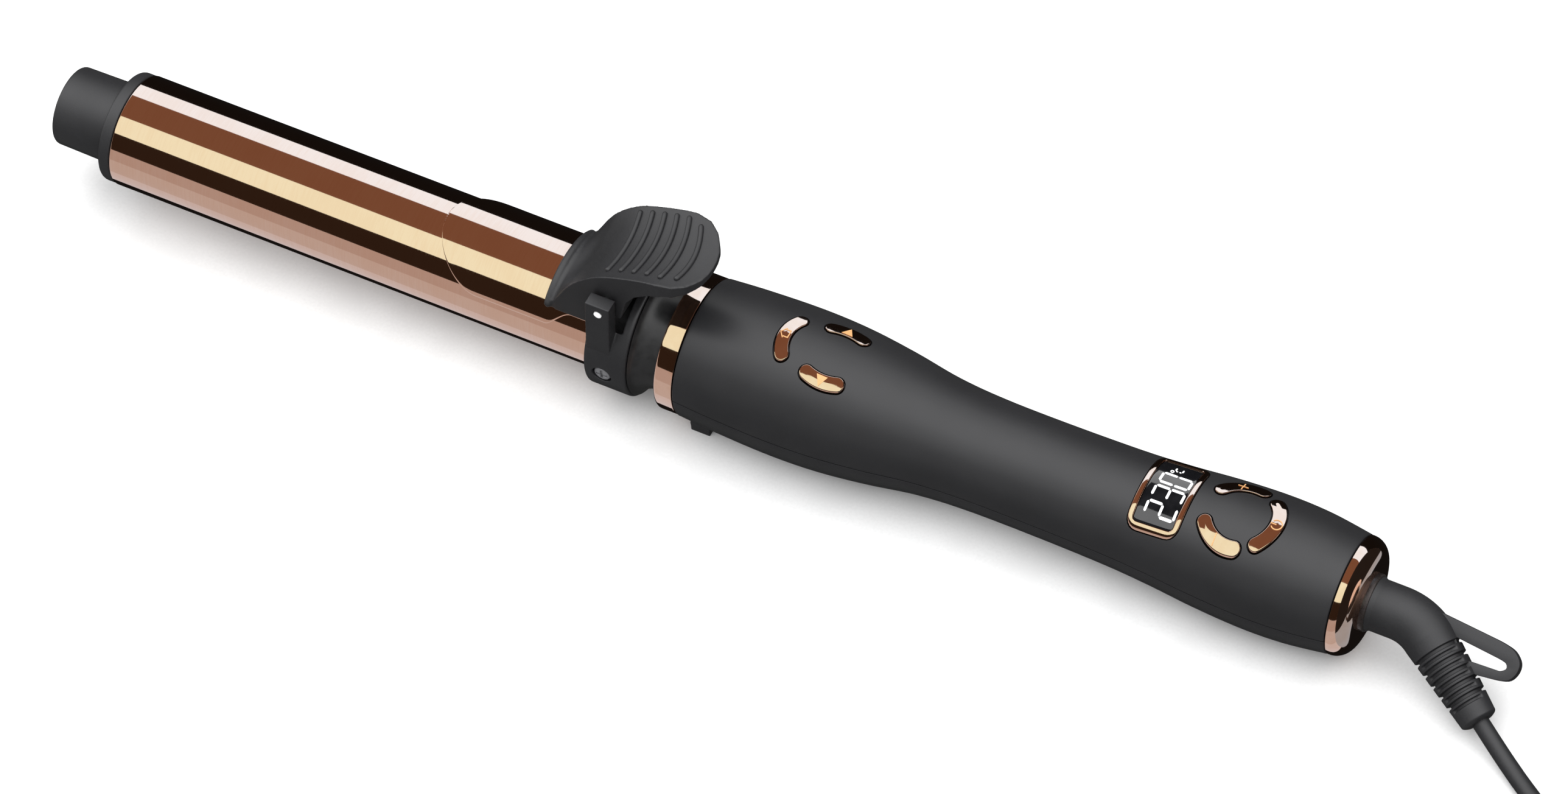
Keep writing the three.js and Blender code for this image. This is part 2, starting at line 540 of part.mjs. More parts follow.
function addLever() {
  const top = new THREE.SplineCurve(LEVER_TOP.map((p) => new THREE.Vector2(...p))).getPoints(22);
  const side = [...top.map((p) => [p.x, p.y]), ...LEVER_UNDER].map(([x, z]) => [HINGE_X + x, HINGE_Z + z]);
  const w = LEVER_HALF_WIDTH;
  const [front, end] = [HINGE_X - 20.4, HINGE_X + LEVER_REACH];
  const plan = new THREE.Shape();
  plan.moveTo(front, -w + 0.5);
  plan.lineTo(COLLAR_FRONT, -w);
  plan.lineTo(end - 10, -w);
  plan.bezierCurveTo(end - 3, -w, end, -w + 5, end, 0);
  plan.bezierCurveTo(end, w - 5, end - 3, w, end - 10, w);
  plan.lineTo(COLLAR_FRONT, w);
  plan.lineTo(front, w - 0.5);
  const body = prismY(outline(side), -w - 1, w + 1).intersect(prismZ(plan, 0, 60, 10));
  const pocketHalf = 4.2;
  const pocket = join(
    block(HINGE_X - 3.8, HINGE_X + 4.6, -pocketHalf, pocketHalf, 0, HINGE_Z + 4.4),
    block(HINGE_X - 7.9, HINGE_X + 4.6, -pocketHalf, pocketHalf, 0, HINGE_Z - 2.2));
  const bore = rodY(HINGE_X, HINGE_Z, HINGE_PIN_R + TURNING, -SKY, SKY);
  const room = rod(-44, 0, CLAMP_R + GAP, ROUND);
  add('thumb_lever', cut(body, pocket, bore, room), BLACK_SATIN);
}

function addClampSpring() {
  const [turns, coilR, wire, perTurn] = [3, 2.5, 0.42, 8];
  const points = [new THREE.Vector3(HINGE_X - 7, -3.3, HINGE_Z - 3.9)];
  for (let i = 0; i <= turns * perTurn; i++) {
    const angle = -Math.PI / 2 - 2 * Math.PI * i / perTurn;
    points.push(new THREE.Vector3(HINGE_X + coilR * Math.cos(angle), -3 + 6 * i / (turns * perTurn),
      HINGE_Z + coilR * Math.sin(angle)));
  }
  points.push(new THREE.Vector3(HINGE_X + 4.1, 3.3, HINGE_Z - 4.6));
  const path = new THREE.CatmullRomCurve3(points, false, 'centripetal');
  add('clamp_spring', sweep(path, wire, 38, 3), STEEL);
}

// ---- drive ----

// Straight teeth with room between them, one tooth pointing at startAngle (degrees from +Y towards +Z).
function gearOutline(teeth, startAngle) {
  const pitch = GEAR_MODULE * teeth / 2;
  const [rootR, tipR] = [pitch - 1.25 * GEAR_MODULE, pitch + 0.75 * GEAR_MODULE];
  const step = 2 * Math.PI / teeth;
  const points = [];
  for (let i = 0; i < teeth; i++) {
    const middle = startAngle * DEG + i * step;
    for (const [r, share] of [[rootR, -0.27], [tipR, -0.13], [tipR, 0.13], [rootR, 0.27]]) {
      points.push([r * Math.cos(middle + share * step), r * Math.sin(middle + share * step)]);
    }
  }
  return outline(points);
}

const MOTOR_Z = -GEAR_CENTRES;
const MOTOR_FRONT = GEAR_FRONT + GEAR_WIDTH + 3.5;

function addDrive() {
  const [from, to] = [GEAR_FRONT, GEAR_FRONT + GEAR_WIDTH];
  const gear = prismX(gearOutline(GEAR_TEETH, -90), from, to);
  add('drive_gear', gear.subtract(rod(from - 1, to + 1, HUB_R + RUNNING, ROUND)), ACETAL);
  const teeth = prismX(gearOutline(PINION_TEETH, 90 + 180 / PINION_TEETH), from - 0.5, to + 0.5);
  const pinion = teeth.subtract(rod(from - 1, to + 1, MOTOR_SHAFT_R + TURNING));
  add('motor_pinion', pinion.translate([0, 0, MOTOR_Z]), BRASS);

  const w = MOTOR_WIDTH / 2;
  const h = MOTOR_HEIGHT / 2;
  const gearbox = prismX(rectangle(-w, w, -h, h, 0.6), MOTOR_FRONT, MOTOR_FRONT + 9, 2);
  const can = rod(MOTOR_FRONT + 9, MOTOR_FRONT + MOTOR_LENGTH, w)
    .intersect(block(0, 99, -w, w, -h, h));
  const shaft = rod(GEAR_FRONT - 0.5, MOTOR_FRONT + 1, MOTOR_SHAFT_R);
  add('gear_motor', join(gearbox, can, shaft).translate([0, 0, MOTOR_Z]), STEEL);

  const bearing = turned([
    [BEARING_FRONT, SHAFT_R + TURNING], [BEARING_FRONT, skinRadius(BEARING_FRONT) - WALL - GAP - 1.4],
    [BEARING_FRONT + BEARING_PLATE, skinRadius(BEARING_FRONT) - WALL - GAP - 1.4],
    [BEARING_FRONT + BEARING_PLATE, 12], [BEARING_FRONT + BEARING_LENGTH, 12],
    [BEARING_FRONT + BEARING_LENGTH, SHAFT_R + TURNING]]);
  add('front_bearing', bearing, ACETAL);
}

function addSlipRing() {
  const { from, to, r } = DRUM;
  const lands = [2.2, 5.2, 8.2].flatMap((at) => [[from + at, r - 0.5], [from + at, r], [from + at + 1.4, r],
    [from + at + 1.4, r - 0.5]]);
  add('slip_ring_drum', turned([[from, 0], [from, r], [from + 0.8, r], [from + 0.8, r - 0.5], ...lands,
    [to - 0.8, r - 0.5], [to - 0.8, r], [to, r], [to, 0]], FINE), BRASS);
  const fingers = [2.9, 5.9, 8.9].map((at) => block(from + at - 0.5, from + at + 0.5, -1.2, 1.2, r + GAP, 7));
  add('brush_block', join(block(from + 0.5, to - 0.5, -5.5, 5.5, 6.6, 9.6), ...fingers), BLACK_SATIN);
}

// ---- boards and switches ----

function addSwitch(name, board) {
  const [x, across] = buttonMiddle(BUTTONS[name]);
  const y = Math.sign(across) * Math.min(Math.abs(across), 7.2);
  const base = board + BOARD_THICK + GAP;
  const top = BUTTONS[name].floor - BUTTON_TRAVEL - 0.1;
  const can = block(x - 2.2, x + 2.2, y - 2.2, y + 2.2, base, base + 2);
  add(name.replace('button', 'switch'), can.add(rodZ(x, y, 1.1, base + 1, top, 10)), BLACK_SATIN);
}

function addBoards() {
  add('front_board', block(21, 48, -9.5, 9.5, FRONT_BOARD_Z, FRONT_BOARD_Z + BOARD_THICK), BOARD);
  ['home_button', 'up_button', 'down_button'].forEach((name) => addSwitch(name, FRONT_BOARD_Z));
  add('main_board', block(HANDLE_LENGTH - 90, HANDLE_LENGTH - 13, -10.2, 10.2, REAR_BOARD_Z,
    REAR_BOARD_Z + BOARD_THICK), BOARD);
  ['plus_button', 'minus_button', 'power_button'].forEach((name) => addSwitch(name, REAR_BOARD_Z));
}

// ---- front ring, end cap, swivel ----

function addRing() {
  const r = skinRadius(0) - 0.1;
  const inner = NECK_R + 0.6;
  add('front_ring', turned([[RING_FRONT, inner], [RING_FRONT, r - 1.6], [RING_FRONT + 0.4, r - 0.6],
    [RING_FRONT + 1.2, r - 0.1], [RING_FRONT + 2.4, r], [-GAP, r], [-GAP, inner]]), ROSE_GOLD);
}

const CAP_FRONT = HANDLE_LENGTH + GAP;
const CAP_REAR = CAP_FRONT + CAP_LENGTH - GAP;
const SWIVEL_X = CAP_REAR - CAP_WALL - 7;

function arcProfile(cx, cr, r, from, to, steps) {
  return Array.from({ length: steps + 1 }, (_, i) => {
    const angle = (from + (to - from) * i / steps) * DEG;
    return [cx + r * Math.cos(angle), cr + r * Math.sin(angle)];
  });
}

function addEndCap() {
  const r = skinRadius(HANDLE_LENGTH);
  const spigot = r - WALL - GAP - 0.4;
  const round = CAP_LENGTH - 0.6;
  const hole = SWIVEL_NECK_R + 0.6;
  add('end_cap', turned([
    [CAP_FRONT - 5, spigot - CAP_WALL], [CAP_FRONT - 5, spigot], [CAP_FRONT, spigot], [CAP_FRONT, r],
    ...arcProfile(CAP_REAR - round, r - round, round, 90, 0, 5),
    [CAP_REAR, hole], [CAP_REAR - CAP_WALL, hole], [CAP_REAR - CAP_WALL, spigot - 3.5],
    [CAP_FRONT, spigot - CAP_WALL],
  ]), ROSE_GOLD);
}

function addSwivel() {
  const cavity = SWIVEL_R + GAP;
  const outer = skinRadius(HANDLE_LENGTH) - WALL - GAP - 0.4 - CAP_WALL - GAP;
  const rear = CAP_REAR - CAP_WALL - GAP;
  const rearAngle = Math.asin((SWIVEL_NECK_R + 0.6) / cavity) / DEG;
  const frontAngle = 150;
  add('swivel_socket', turned([
    ...arcProfile(SWIVEL_X, 0, cavity, frontAngle, rearAngle, 7),
    [rear, SWIVEL_NECK_R + 0.6], [rear, outer - 3], [rear - 3, outer], [SWIVEL_X - 6.5, outer],
    [SWIVEL_X - 6.5, cavity * Math.sin(frontAngle * DEG)],
  ]), ACETAL);
  const neckAngle = Math.asin(SWIVEL_NECK_R / SWIVEL_R) / DEG;
  const boreAngle = 180 - Math.asin(2 / SWIVEL_R) / DEG;
  add('swivel_ball', turned([
    ...arcProfile(SWIVEL_X, 0, SWIVEL_R, boreAngle, neckAngle, 7),
    [CAP_REAR + 0.2, SWIVEL_NECK_R], [CAP_REAR + 0.2, 2]], FINE), BLACK_SATIN);
}

// ---- strain relief with hanging loop ----

const RELIEF_FRONT = CAP_REAR + 0.5;
const CORNER = new THREE.Vector3(CAP_REAR + RELIEF_CORNER, 0, 0);

// The tail's direction in the iron's frame: sideways and down on the table, less the rest tilt.
const TAIL = new THREE.Vector3(
  Math.cos(RELIEF_AZIMUTH * DEG) * Math.cos(RELIEF_DROP * DEG),
  -Math.sin(RELIEF_AZIMUTH * DEG) * Math.cos(RELIEF_DROP * DEG),
  -Math.sin(RELIEF_DROP * DEG)).applyAxisAngle(AY, -REST_TILT);
const RELIEF_END = CORNER.clone().addScaledVector(TAIL, RELIEF_TAIL);

function addStrainRelief() {
  const turn = Math.acos(TAIL.x);
  const lead = RELIEF_BEND_R * Math.tan(turn / 2);
  const path = new THREE.CurvePath();
  const bendFrom = CORNER.clone().addScaledVector(AX, -lead);
  const bendTo = CORNER.clone().addScaledVector(TAIL, lead);
  path.add(new THREE.LineCurve3(new THREE.Vector3(RELIEF_FRONT, 0, 0), bendFrom));
  path.add(new THREE.QuadraticBezierCurve3(bendFrom, CORNER, bendTo));
  const bend = sweep(path, RELIEF_R, 10, 8);
  const lip = tube(RELIEF_FRONT, RELIEF_FRONT + 0.9, 0.5, RELIEF_R + 0.5, FINE);

  const tailLength = RELIEF_TAIL - lead;
  const taper = (x) => RELIEF_R - 0.3 + (RELIEF_END_R - RELIEF_R + 0.3) * x / tailLength;
  const profile = [[-0.4, 0], [-0.4, taper(0)]];
  for (let i = 0; i < 5; i++) {
    const at = 4 + i * 3.5;
    profile.push([at, taper(at)], [at, taper(at) - 0.9], [at + 0.9, taper(at) - 0.9], [at + 0.9, taper(at)]);
  }
  profile.push([tailLength - 1.2, RELIEF_END_R + 0.1], [tailLength, RELIEF_END_R - 1.4], [tailLength, 0]);
  const tail = new THREE.LatheGeometry(profile.map(([x, r]) => new THREE.Vector2(r, x)), FINE);
  tail.applyQuaternion(new THREE.Quaternion().setFromUnitVectors(AY, TAIL)).translate(...bendTo.toArray());

  add('strain_relief', join(bend, lip, solid(tail), hangLoop()), RUBBER);
}

// A band in the plane of the bend, on its outer side: from the straight part round to the ribbed part.
function hangLoop() {
  const outward = new THREE.Vector3(0, -TAIL.y, -TAIL.z).normalize();
  const across = new THREE.Vector3().crossVectors(AX, outward);
  const x = CAP_REAR;
  const loop = new THREE.Shape();
  loop.moveTo(x + 9.5, 5);
  loop.lineTo(x + 37.2, 2.6);
  loop.bezierCurveTo(x + 41.5, 2, x + 45, -1.5, x + 43.6, -4.6);
  loop.bezierCurveTo(x + 42.6, -6.8, x + 41, -7, x + 36, -7.9);
  loop.lineTo(x + 24, -9);
  loop.lineTo(x + 9.5, 1);
  const hole = new THREE.Path();
  hole.moveTo(x + 31, -5.3);
  hole.lineTo(x + 39.4, -4.8);
  hole.bezierCurveTo(x + 41, -4.4, x + 40.6, -2.2, x + 38.4, -1.9);
  hole.lineTo(x + 26, -0.6);
  loop.holes.push(hole);
  return prism(loop, -LOOP_THICK / 2, LOOP_THICK / 2, [AX, outward, across], 5);
}

// ---- wires inside ----

function addInnerLeads() {
  const lead = (points) => sweep(new THREE.CatmullRomCurve3(points.map((p) => new THREE.Vector3(...p))), 1.1,
    16, 3);
  const heaterEnd = CORE.to - 26 + GAP;
  add('heater_lead', lead([[heaterEnd, 5, 0], [heaterEnd + 16, 5, 0], [-20, 4, 0], [0, 2.4, 0], [12, 0.8, 0],
    [DRUM.from - GAP, 0, 0]]), RUBBER);
  const boardRear = HANDLE_LENGTH - 13;
  add('mains_lead', lead([[SWIVEL_X - 6.9, 0, 0], [boardRear - 3, 0.6, 0], [boardRear - 9, 3, 1.6],
    [boardRear - 14, 5.4, 3.4], [boardRear - 16.5, 6, 5]]), RUBBER);
}

// ---- cord, coil, tie and plug, on the table ----

// The lead from the strain relief to the coil: [forward, sideways] from the exit on the table, and
// how much of the exit's height above the table is left.
const LEAD_ROUTE = [[0, 0, 1], [2.4, -1.56, 0.83], [4.9, -3.2, 0.655], [7.4, -4.8, 0.485], [9.9, -6.4, 0.33],
  [12.4, -8, 0.2], [15, -9.7, 0.1], [17.8, -11.5, 0.03], [21, -13.6, 0], [25, -16.2, 0], [29, -18.7, 0.01],
  [33.5, -21.4, 0.04], [38, -23.9, 0.1], [42.5, -26.1, 0.16], [46.7, -28, 0.2], [50.8, -29.4, 0.23],
  [54.8, -30.2, 0.232], [59, -30.5, 0.232]];
const COIL_CENTRE = [75.2, 3.6];     // from the exit
// From the top of the coil to the plug: from the coil's centre, and above the coil's top face.
const TAIL_ROUTE = [[-14, -29.5, 2.8], [-10, -31.1, 2.9], [-6, -31.7, 3.1], [0.8, -30.5, 3.7],
  [6.9, -27, 4.7], [11.3, -21.7, 6], [13.7, -15.2, 7.4], [14, -10.5, 7.8]];

function addCordSet(parent, exit, ground) {
  const lead = LEAD_ROUTE.map(([x, y, k]) => new THREE.Vector3(exit.x + x, exit.y + y,
    ground + CORD_LIE + k * (exit.z - ground - CORD_LIE)));
  const start = lead[0].clone().addScaledVector(lead[1].clone().sub(lead[0]).normalize(), GAP);
  lead[0].copy(start);
  add('cord_lead', sweep(new THREE.CatmullRomCurve3(lead), CORD_R, 22, 4), RUBBER, parent);

  const [cx, cy] = [exit.x + COIL_CENTRE[0], exit.y + COIL_CENTRE[1]];
  const halfAcross = (COIL_TURNS_ACROSS - 1) / 2 * COIL_PITCH + CORD_R;
  const height = (COIL_LAYERS - 1) * COIL_PITCH + 2 * CORD_R;
  const [hole, rim] = [COIL_MEAN_R - halfAcross, COIL_MEAN_R + halfAcross];
  const ring = [[hole, 0], [rim, 0], [rim, height], [hole, height], [hole, 0]]
    .map(([r, z]) => new THREE.Vector2(r, z));
  const coil = new THREE.LatheGeometry(ring, 40).rotateX(Math.PI / 2);
  coil.translate(cx, cy, ground + COIL_LIFT);
  add('cord_coil', solid(coil), RUBBER, parent);

  const tieAt = cy + COIL_MEAN_R;
  const [w, h] = [halfAcross + 0.35, height + 2 * 0.35];
  const z0 = ground + COIL_LIFT - 0.35;
  const band = rectangle(tieAt - w - TIE_THICK, tieAt + w + TIE_THICK, z0 - TIE_THICK, z0 + h + TIE_THICK, 1);
  const tie = prismX(band, cx - TIE_WIDTH / 2, cx + TIE_WIDTH / 2, 3);
  const inside = block(cx - SKY, cx + SKY, tieAt - w, tieAt + w, z0, z0 + h);
  add('coil_tie', tie.subtract(inside), BLACK_SATIN, parent);

  const top = ground + COIL_LIFT + height;
  const tail = TAIL_ROUTE.map(([x, y, z]) => new THREE.Vector3(cx + x, cy + y, top + z));
  add('cord_tail', sweep(new THREE.CatmullRomCurve3(tail), CORD_R, 12, 4), RUBBER, parent);
  addPlug(parent, tail.at(-1));
}

// A flat two-blade mains plug lying on the coil, its blades towards +Y.
function addPlug(parent, entry) {
  const [w, h] = [PLUG_WIDTH / 2, PLUG_HEIGHT / 2];
  const reliefLength = 14;
  const relief = [[GAP, 0], [GAP, 3.4]];
  for (let i = 0; i < 3; i++) {
    const at = 3 + i * 3.2;
    const r = 3.5 + 0.12 * at;
    relief.push([at, r], [at, r - 0.8], [at + 1, r - 0.8], [at + 1, r]);
  }
  relief.push([reliefLength + 1, 5.4], [reliefLength + 1, 0]);
  const cone = solid(new THREE.LatheGeometry(relief.map(([y, r]) => new THREE.Vector2(r, y)), FINE));
  const body = prismY(rectangle(-w, w, -h, h, 5), reliefLength, reliefLength + PLUG_LENGTH, 4);
  const front = reliefLength + PLUG_LENGTH;
  const blades = [-1, 1].map((side) => side * BLADE_SPACING / 2);
  const blade = (x, grow, from) => block(x - 0.75 - grow, x + 0.75 + grow, from, front + 17,
    -3.15 - grow, 3.15 + grow);
  const slots = blades.map((x) => blade(x, 0.2, front - 6));
  add('plug_body', cut(cone.add(body), ...slots), BLACK_SATIN, parent).position.copy(entry);
  blades.forEach((x, i) =>
    add(`plug_blade_${i + 1}`, blade(x, 0, front - 5.7), BRASS, parent).position.copy(entry));
}

// ---- the whole object ----

addTip();
addBarrel();
addHeater();
addNeck();
addCollar();
addClampPlate();
addLever();
addClampSpring();
addDrive();
addSlipRing();
addRing();
addShells();
addButtons();
addDisplay();
addBoards();
addStand();
addEndCap();
addSwivel();
addInnerLeads();

iron.rotation.y = REST_TILT;
iron.updateMatrixWorld(true);
const body = new THREE.Box3().setFromObject(iron, true);
addStrainRelief();
const object = new THREE.Group();
object.add(iron);
addCordSet(object, RELIEF_END.clone().applyMatrix4(iron.matrixWorld), body.min.z);
const middle = body.getCenter(new THREE.Vector3());
object.position.set(-middle.x, -middle.y, -body.min.z);

export default object;
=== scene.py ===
import json
import math

import bmesh
import bpy
import numpy as np
from mathutils import Matrix, Vector


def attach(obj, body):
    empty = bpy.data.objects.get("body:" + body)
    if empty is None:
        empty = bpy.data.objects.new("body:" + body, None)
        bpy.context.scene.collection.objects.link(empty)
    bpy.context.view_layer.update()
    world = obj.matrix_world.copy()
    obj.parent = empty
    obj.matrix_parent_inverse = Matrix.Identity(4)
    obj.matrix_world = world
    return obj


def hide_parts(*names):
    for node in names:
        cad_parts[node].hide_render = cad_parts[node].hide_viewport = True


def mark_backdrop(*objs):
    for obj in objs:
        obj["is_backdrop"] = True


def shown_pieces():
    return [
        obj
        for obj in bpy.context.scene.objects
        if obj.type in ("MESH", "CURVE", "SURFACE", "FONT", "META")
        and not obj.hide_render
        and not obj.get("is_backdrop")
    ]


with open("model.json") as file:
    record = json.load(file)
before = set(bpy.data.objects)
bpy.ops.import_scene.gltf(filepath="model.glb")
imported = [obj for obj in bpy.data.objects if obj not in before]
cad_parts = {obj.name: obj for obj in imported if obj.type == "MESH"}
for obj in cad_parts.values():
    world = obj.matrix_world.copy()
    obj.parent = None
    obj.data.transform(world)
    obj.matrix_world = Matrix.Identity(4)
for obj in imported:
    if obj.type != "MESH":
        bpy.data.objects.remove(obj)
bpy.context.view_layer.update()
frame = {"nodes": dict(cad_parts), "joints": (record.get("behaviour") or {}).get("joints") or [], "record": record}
scene = bpy.context.scene
scene.view_settings.view_transform = "Standard"

# ---- the iron's own frame: millimetres, x from the tip to the cap, z up, y across ----

MM = 0.001
spin = next(j for j in frame["joints"] if j["name"] == "barrel_spin")
AXIS = Vector(spin["axis"]).normalized()
UP = AXIS.cross(Vector((0, 1, 0)))
IRON = Matrix.Translation(spin["pos_m"]) @ Matrix((
    (AXIS.x * MM, 0, UP.x * MM, 0), (0, MM, 0, 0), (AXIS.z * MM, 0, UP.z * MM, 0), (0, 0, 0, 1)))
TABLE = Matrix.Scale(MM, 4)                       # millimetres in the row's frame, for the cord set

SLOTS = {part["node"]: part["material_slot"] for part in frame["record"]["subparts"]}

# ---- driving sizes, mm ----

BARREL_R = 16.05
BARREL = (-177.0, -25.0)
TIP_END = -198.3
TIP_R = 11.4
FLANGE = (-181.0, -177.3, 15.9)
COLLAR = (-27.0, -14.4, 19.6)
EAR = (14.0, 18.0, 28.4)                          # inside, outside and top
HINGE = (-21.6, 24.8)
COLLAR_SCREW = (-21.7, -1)
SCREW_SEAT_R = 2.9
SCREW_SUNK = 1.6                                  # depth of the shell screws' seats, and their floor
NECK_R = 14.6
RING = (-5.9, -0.3)
HANDLE = 190.5
WALL = 2.2
SEAM = 0.3
CAP_REAR = 196.2
RELIEF_R = 7.2
RELIEF_END_R = 5.0
CORD_R = 2.4
STAND = (3.6, -18.9, 42.0, 12.1)                  # hinge x, hinge z, length, half width


def curve(points, steps=22):
    """A smooth uniform curve through points of two or three numbers."""
    points = [Vector(p) for p in points]
    last = len(points) - 1
    made = []
    for i in range(last * steps + 1):
        k = min(i // steps, last - 1)
        t = i / steps - k
        before, a, b, after = points[max(k - 1, 0)], points[k], points[k + 1], points[min(k + 2, last)]
        leave = (b - before) / 2
        arrive = (after - a) / 2
        made.append(a * (2 * t**3 - 3 * t**2 + 1) + leave * (t**3 - 2 * t**2 + t)
            + b * (3 * t**2 - 2 * t**3) + arrive * (t**3 - t**2))
    return made


SKIN = [(0, 19.7), (12, 20.5), (28, 21), (42, 20.5), (56, 18.9), (70, 16.7), (84, 15.75), (102.5, 15.62),
    (124.5, 16), (138.5, 16.8), (152.5, 18.05), (166.5, 18.7), (178.5, 18.3), (HANDLE, 16.75)]
SKIN_LINE = curve(SKIN, 6)
SKIN_X = [p.x for p in SKIN_LINE]
SKIN_R = [p.y for p in SKIN_LINE]


def skin(x):
    return float(np.interp(x, SKIN_X, SKIN_R))


def skin_top(x, y, proud=0.0):
    return math.sqrt(max((skin(x) + proud) ** 2 - y * y, 0.0))


# ---- mesh making, all in mm ----

def rounded(points, radius, steps=4):
    """A closed outline with its corners rounded by one radius, or by one radius each."""
    made = []
    for i, point in enumerate(points):
        reach = radius[i] if hasattr(radius, "__len__") else radius
        corner = Vector(point)
        before = Vector(points[i - 1]) - corner
        after = Vector(points[(i + 1) % len(points)]) - corner
        reach = min(reach, before.length * 0.49, after.length * 0.49)
        if reach <= 0:
            made.append(tuple(corner))
            continue
        start = corner + before.normalized() * reach
        end = corner + after.normalized() * reach
        for k in range(steps + 1):
            t = k / steps
            made.append(tuple(start * (1 - t) ** 2 + corner * 2 * t * (1 - t) + end * t * t))
    return made


def rings(rows, closed_rows=False, closed_points=True, caps=True):
    """A skin over rows of points that all have the same count."""
    bm = bmesh.new()
    made = [[bm.verts.new(p) for p in row] for row in rows]
    count = len(rows[0])
    for i in range(len(rows) if closed_rows else len(rows) - 1):
        a, b = made[i], made[(i + 1) % len(rows)]
        for j in range(count if closed_points else count - 1):
            k = (j + 1) % count
            bm.faces.new((a[j], a[k], b[k], b[j]))
    if caps and not closed_rows:
        bm.faces.new(made[0])
        bm.faces.new(list(reversed(made[-1])))
    return tidy(bm)


def tidy(bm):
    bmesh.ops.remove_doubles(bm, verts=bm.verts, dist=0.0005)
    bmesh.ops.dissolve_degenerate(bm, edges=bm.edges, dist=0.0003)
    bmesh.ops.recalc_face_normals(bm, faces=bm.faces)
    return bm


def lathe(profile, segments=192, start=0.0, sweep=360.0):
    """Turns a closed profile of (x, r) about the x axis, angle 0 at +y and 90 at +z."""
    full = abs(sweep) >= 360
    rows = []
    for i in range(segments if full else segments + 1):
        angle = math.radians(start + sweep * i / segments)
        rows.append([(x, r * math.cos(angle), r * math.sin(angle)) for x, r in profile])
    return rings(rows, closed_rows=full)


def prism(outline, low, high, along="z"):
    """A closed outline drawn out along x, y or z; the outline keeps the other two in order."""
    order = {"x": (2, 0, 1), "y": (0, 2, 1), "z": (0, 1, 2)}[along]
    return rings([[[(a, b, level)[k] for k in order] for a, b in outline] for level in (low, high)])


def box(x0, x1, y0, y1, z0, z1):
    return prism([(x0, y0), (x1, y0), (x1, y1), (x0, y1)], z0, z1)


def circle(x, y, r, count=48):
    return [(x + r * math.cos(a), y + r * math.sin(a))
        for a in (2 * math.pi * i / count for i in range(count))]


def rod(x, z, r, y0, y1, segments=48):
    return prism(circle(x, z, r, segments), y0, y1, "y")


def tube(path, radius):
    """A round tube along a path, with domed ends."""
    sides = 16
    path = [Vector(p) for p in path]
    normal = Vector((0, 0, 1))
    rows = []
    for i, point in enumerate(path):
        ahead = (path[min(i + 1, len(path) - 1)] - path[max(i - 1, 0)]).normalized()
        normal = (normal - ahead * normal.dot(ahead)).normalized()
        side = ahead.cross(normal)
        steps = [(0.0, 1.0)]
        if i == 0:
            steps = [(-1.0, 0.01), (-0.85, 0.5), (-0.5, 0.86), (0.0, 1.0)]
        if i == len(path) - 1:
            steps = [(0.0, 1.0), (0.5, 0.86), (0.85, 0.5), (1.0, 0.01)]
        for forward, wide in steps:
            middle = point + ahead * radius * forward
            rows.append([middle + (normal * math.cos(a) + side * math.sin(a)) * radius * wide
                for a in (2 * math.pi * k / sides for k in range(sides))])
    return rings(rows)


def turned_at(place, angle, axis="Z"):
    return Matrix.Translation(place) @ Matrix.Rotation(angle, 4, axis)


def work_object(bm):
    """A throwaway object that carries a mesh through the modifiers."""
    mesh = bpy.data.meshes.new("work")
    bm.to_mesh(mesh)
    bm.free()
    made = bpy.data.objects.new("work", mesh)
    scene.collection.objects.link(made)
    return made


def shaped(bm, *steps, tools=()):
    """The mesh after its modifiers; a boolean step takes the next mesh in tools."""
    base = work_object(bm)
    helpers = [work_object(tool) for tool in tools]
    waiting = list(helpers)
    for kind, settings in steps:
        modifier = base.modifiers.new(kind, kind)
        if kind == "BOOLEAN":
            modifier.solver = "EXACT"
            modifier.object = waiting.pop(0)
        for key, value in settings.items():
            setattr(modifier, key, value)
    bpy.context.view_layer.update()
    result = base.evaluated_get(bpy.context.evaluated_depsgraph_get())
    made = bmesh.new()
    made.from_mesh(result.to_mesh())
    result.to_mesh_clear()
    for leftover in [base, *helpers]:
        mesh = leftover.data
        bpy.data.objects.remove(leftover)
        bpy.data.meshes.remove(mesh)
    return made


def carve(bm, *tools):
    return shaped(bm, *[("BOOLEAN", {"operation": "DIFFERENCE"})] * len(tools), tools=tools)


def weld(bm, *tools):
    return shaped(bm, *[("BOOLEAN", {"operation": "UNION"})] * len(tools), tools=tools)


def edged(bm, width=0.25, segments=3, angle=30):
    return shaped(bm, ("BEVEL", {"width": width, "segments": segments, "limit_method": "ANGLE",
        "angle_limit": math.radians(angle), "harden_normals": False}))


def melted(bm, voxel, smoothing=3):
    """One moulded body with soft corners."""
    return shaped(bm, ("REMESH", {"mode": "VOXEL", "voxel_size": voxel}),
        ("SMOOTH", {"factor": 0.5, "iterations": smoothing}))


def together(*parts):
    made = bmesh.new()
    for part in parts:
        mesh = bpy.data.meshes.new("work")
        part.to_mesh(mesh)
        part.free()
        made.from_mesh(mesh)
        bpy.data.meshes.remove(mesh)
    return made


def piece(name, bm, material, body, replaces=(), sharp=32, place=IRON):
    """A finished piece: named, placed, smoothed up to an angle, riding on its body."""
    limit = math.radians(sharp)
    for face in bm.faces:
        face.smooth = True
    for edge in bm.edges:
        edge.smooth = len(edge.link_faces) == 2 and edge.calc_face_angle(math.pi) < limit
    mesh = bpy.data.meshes.new(name)
    bm.transform(place)
    bm.to_mesh(mesh)
    bm.free()
    mesh.materials.append(material)
    made = bpy.data.objects.new(name, mesh)
    scene.collection.objects.link(made)
    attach(made, body)
    if replaces:
        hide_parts(*replaces)
    return made


# ---- materials ----

def srgb(code):
    """An sRGB hex colour as linear numbers."""
    parts = [int(code[i:i + 2], 16) / 255 for i in (1, 3, 5)]
    return (*[c / 12.92 if c <= 0.04045 else ((c + 0.055) / 1.055) ** 2.4 for c in parts], 1.0)


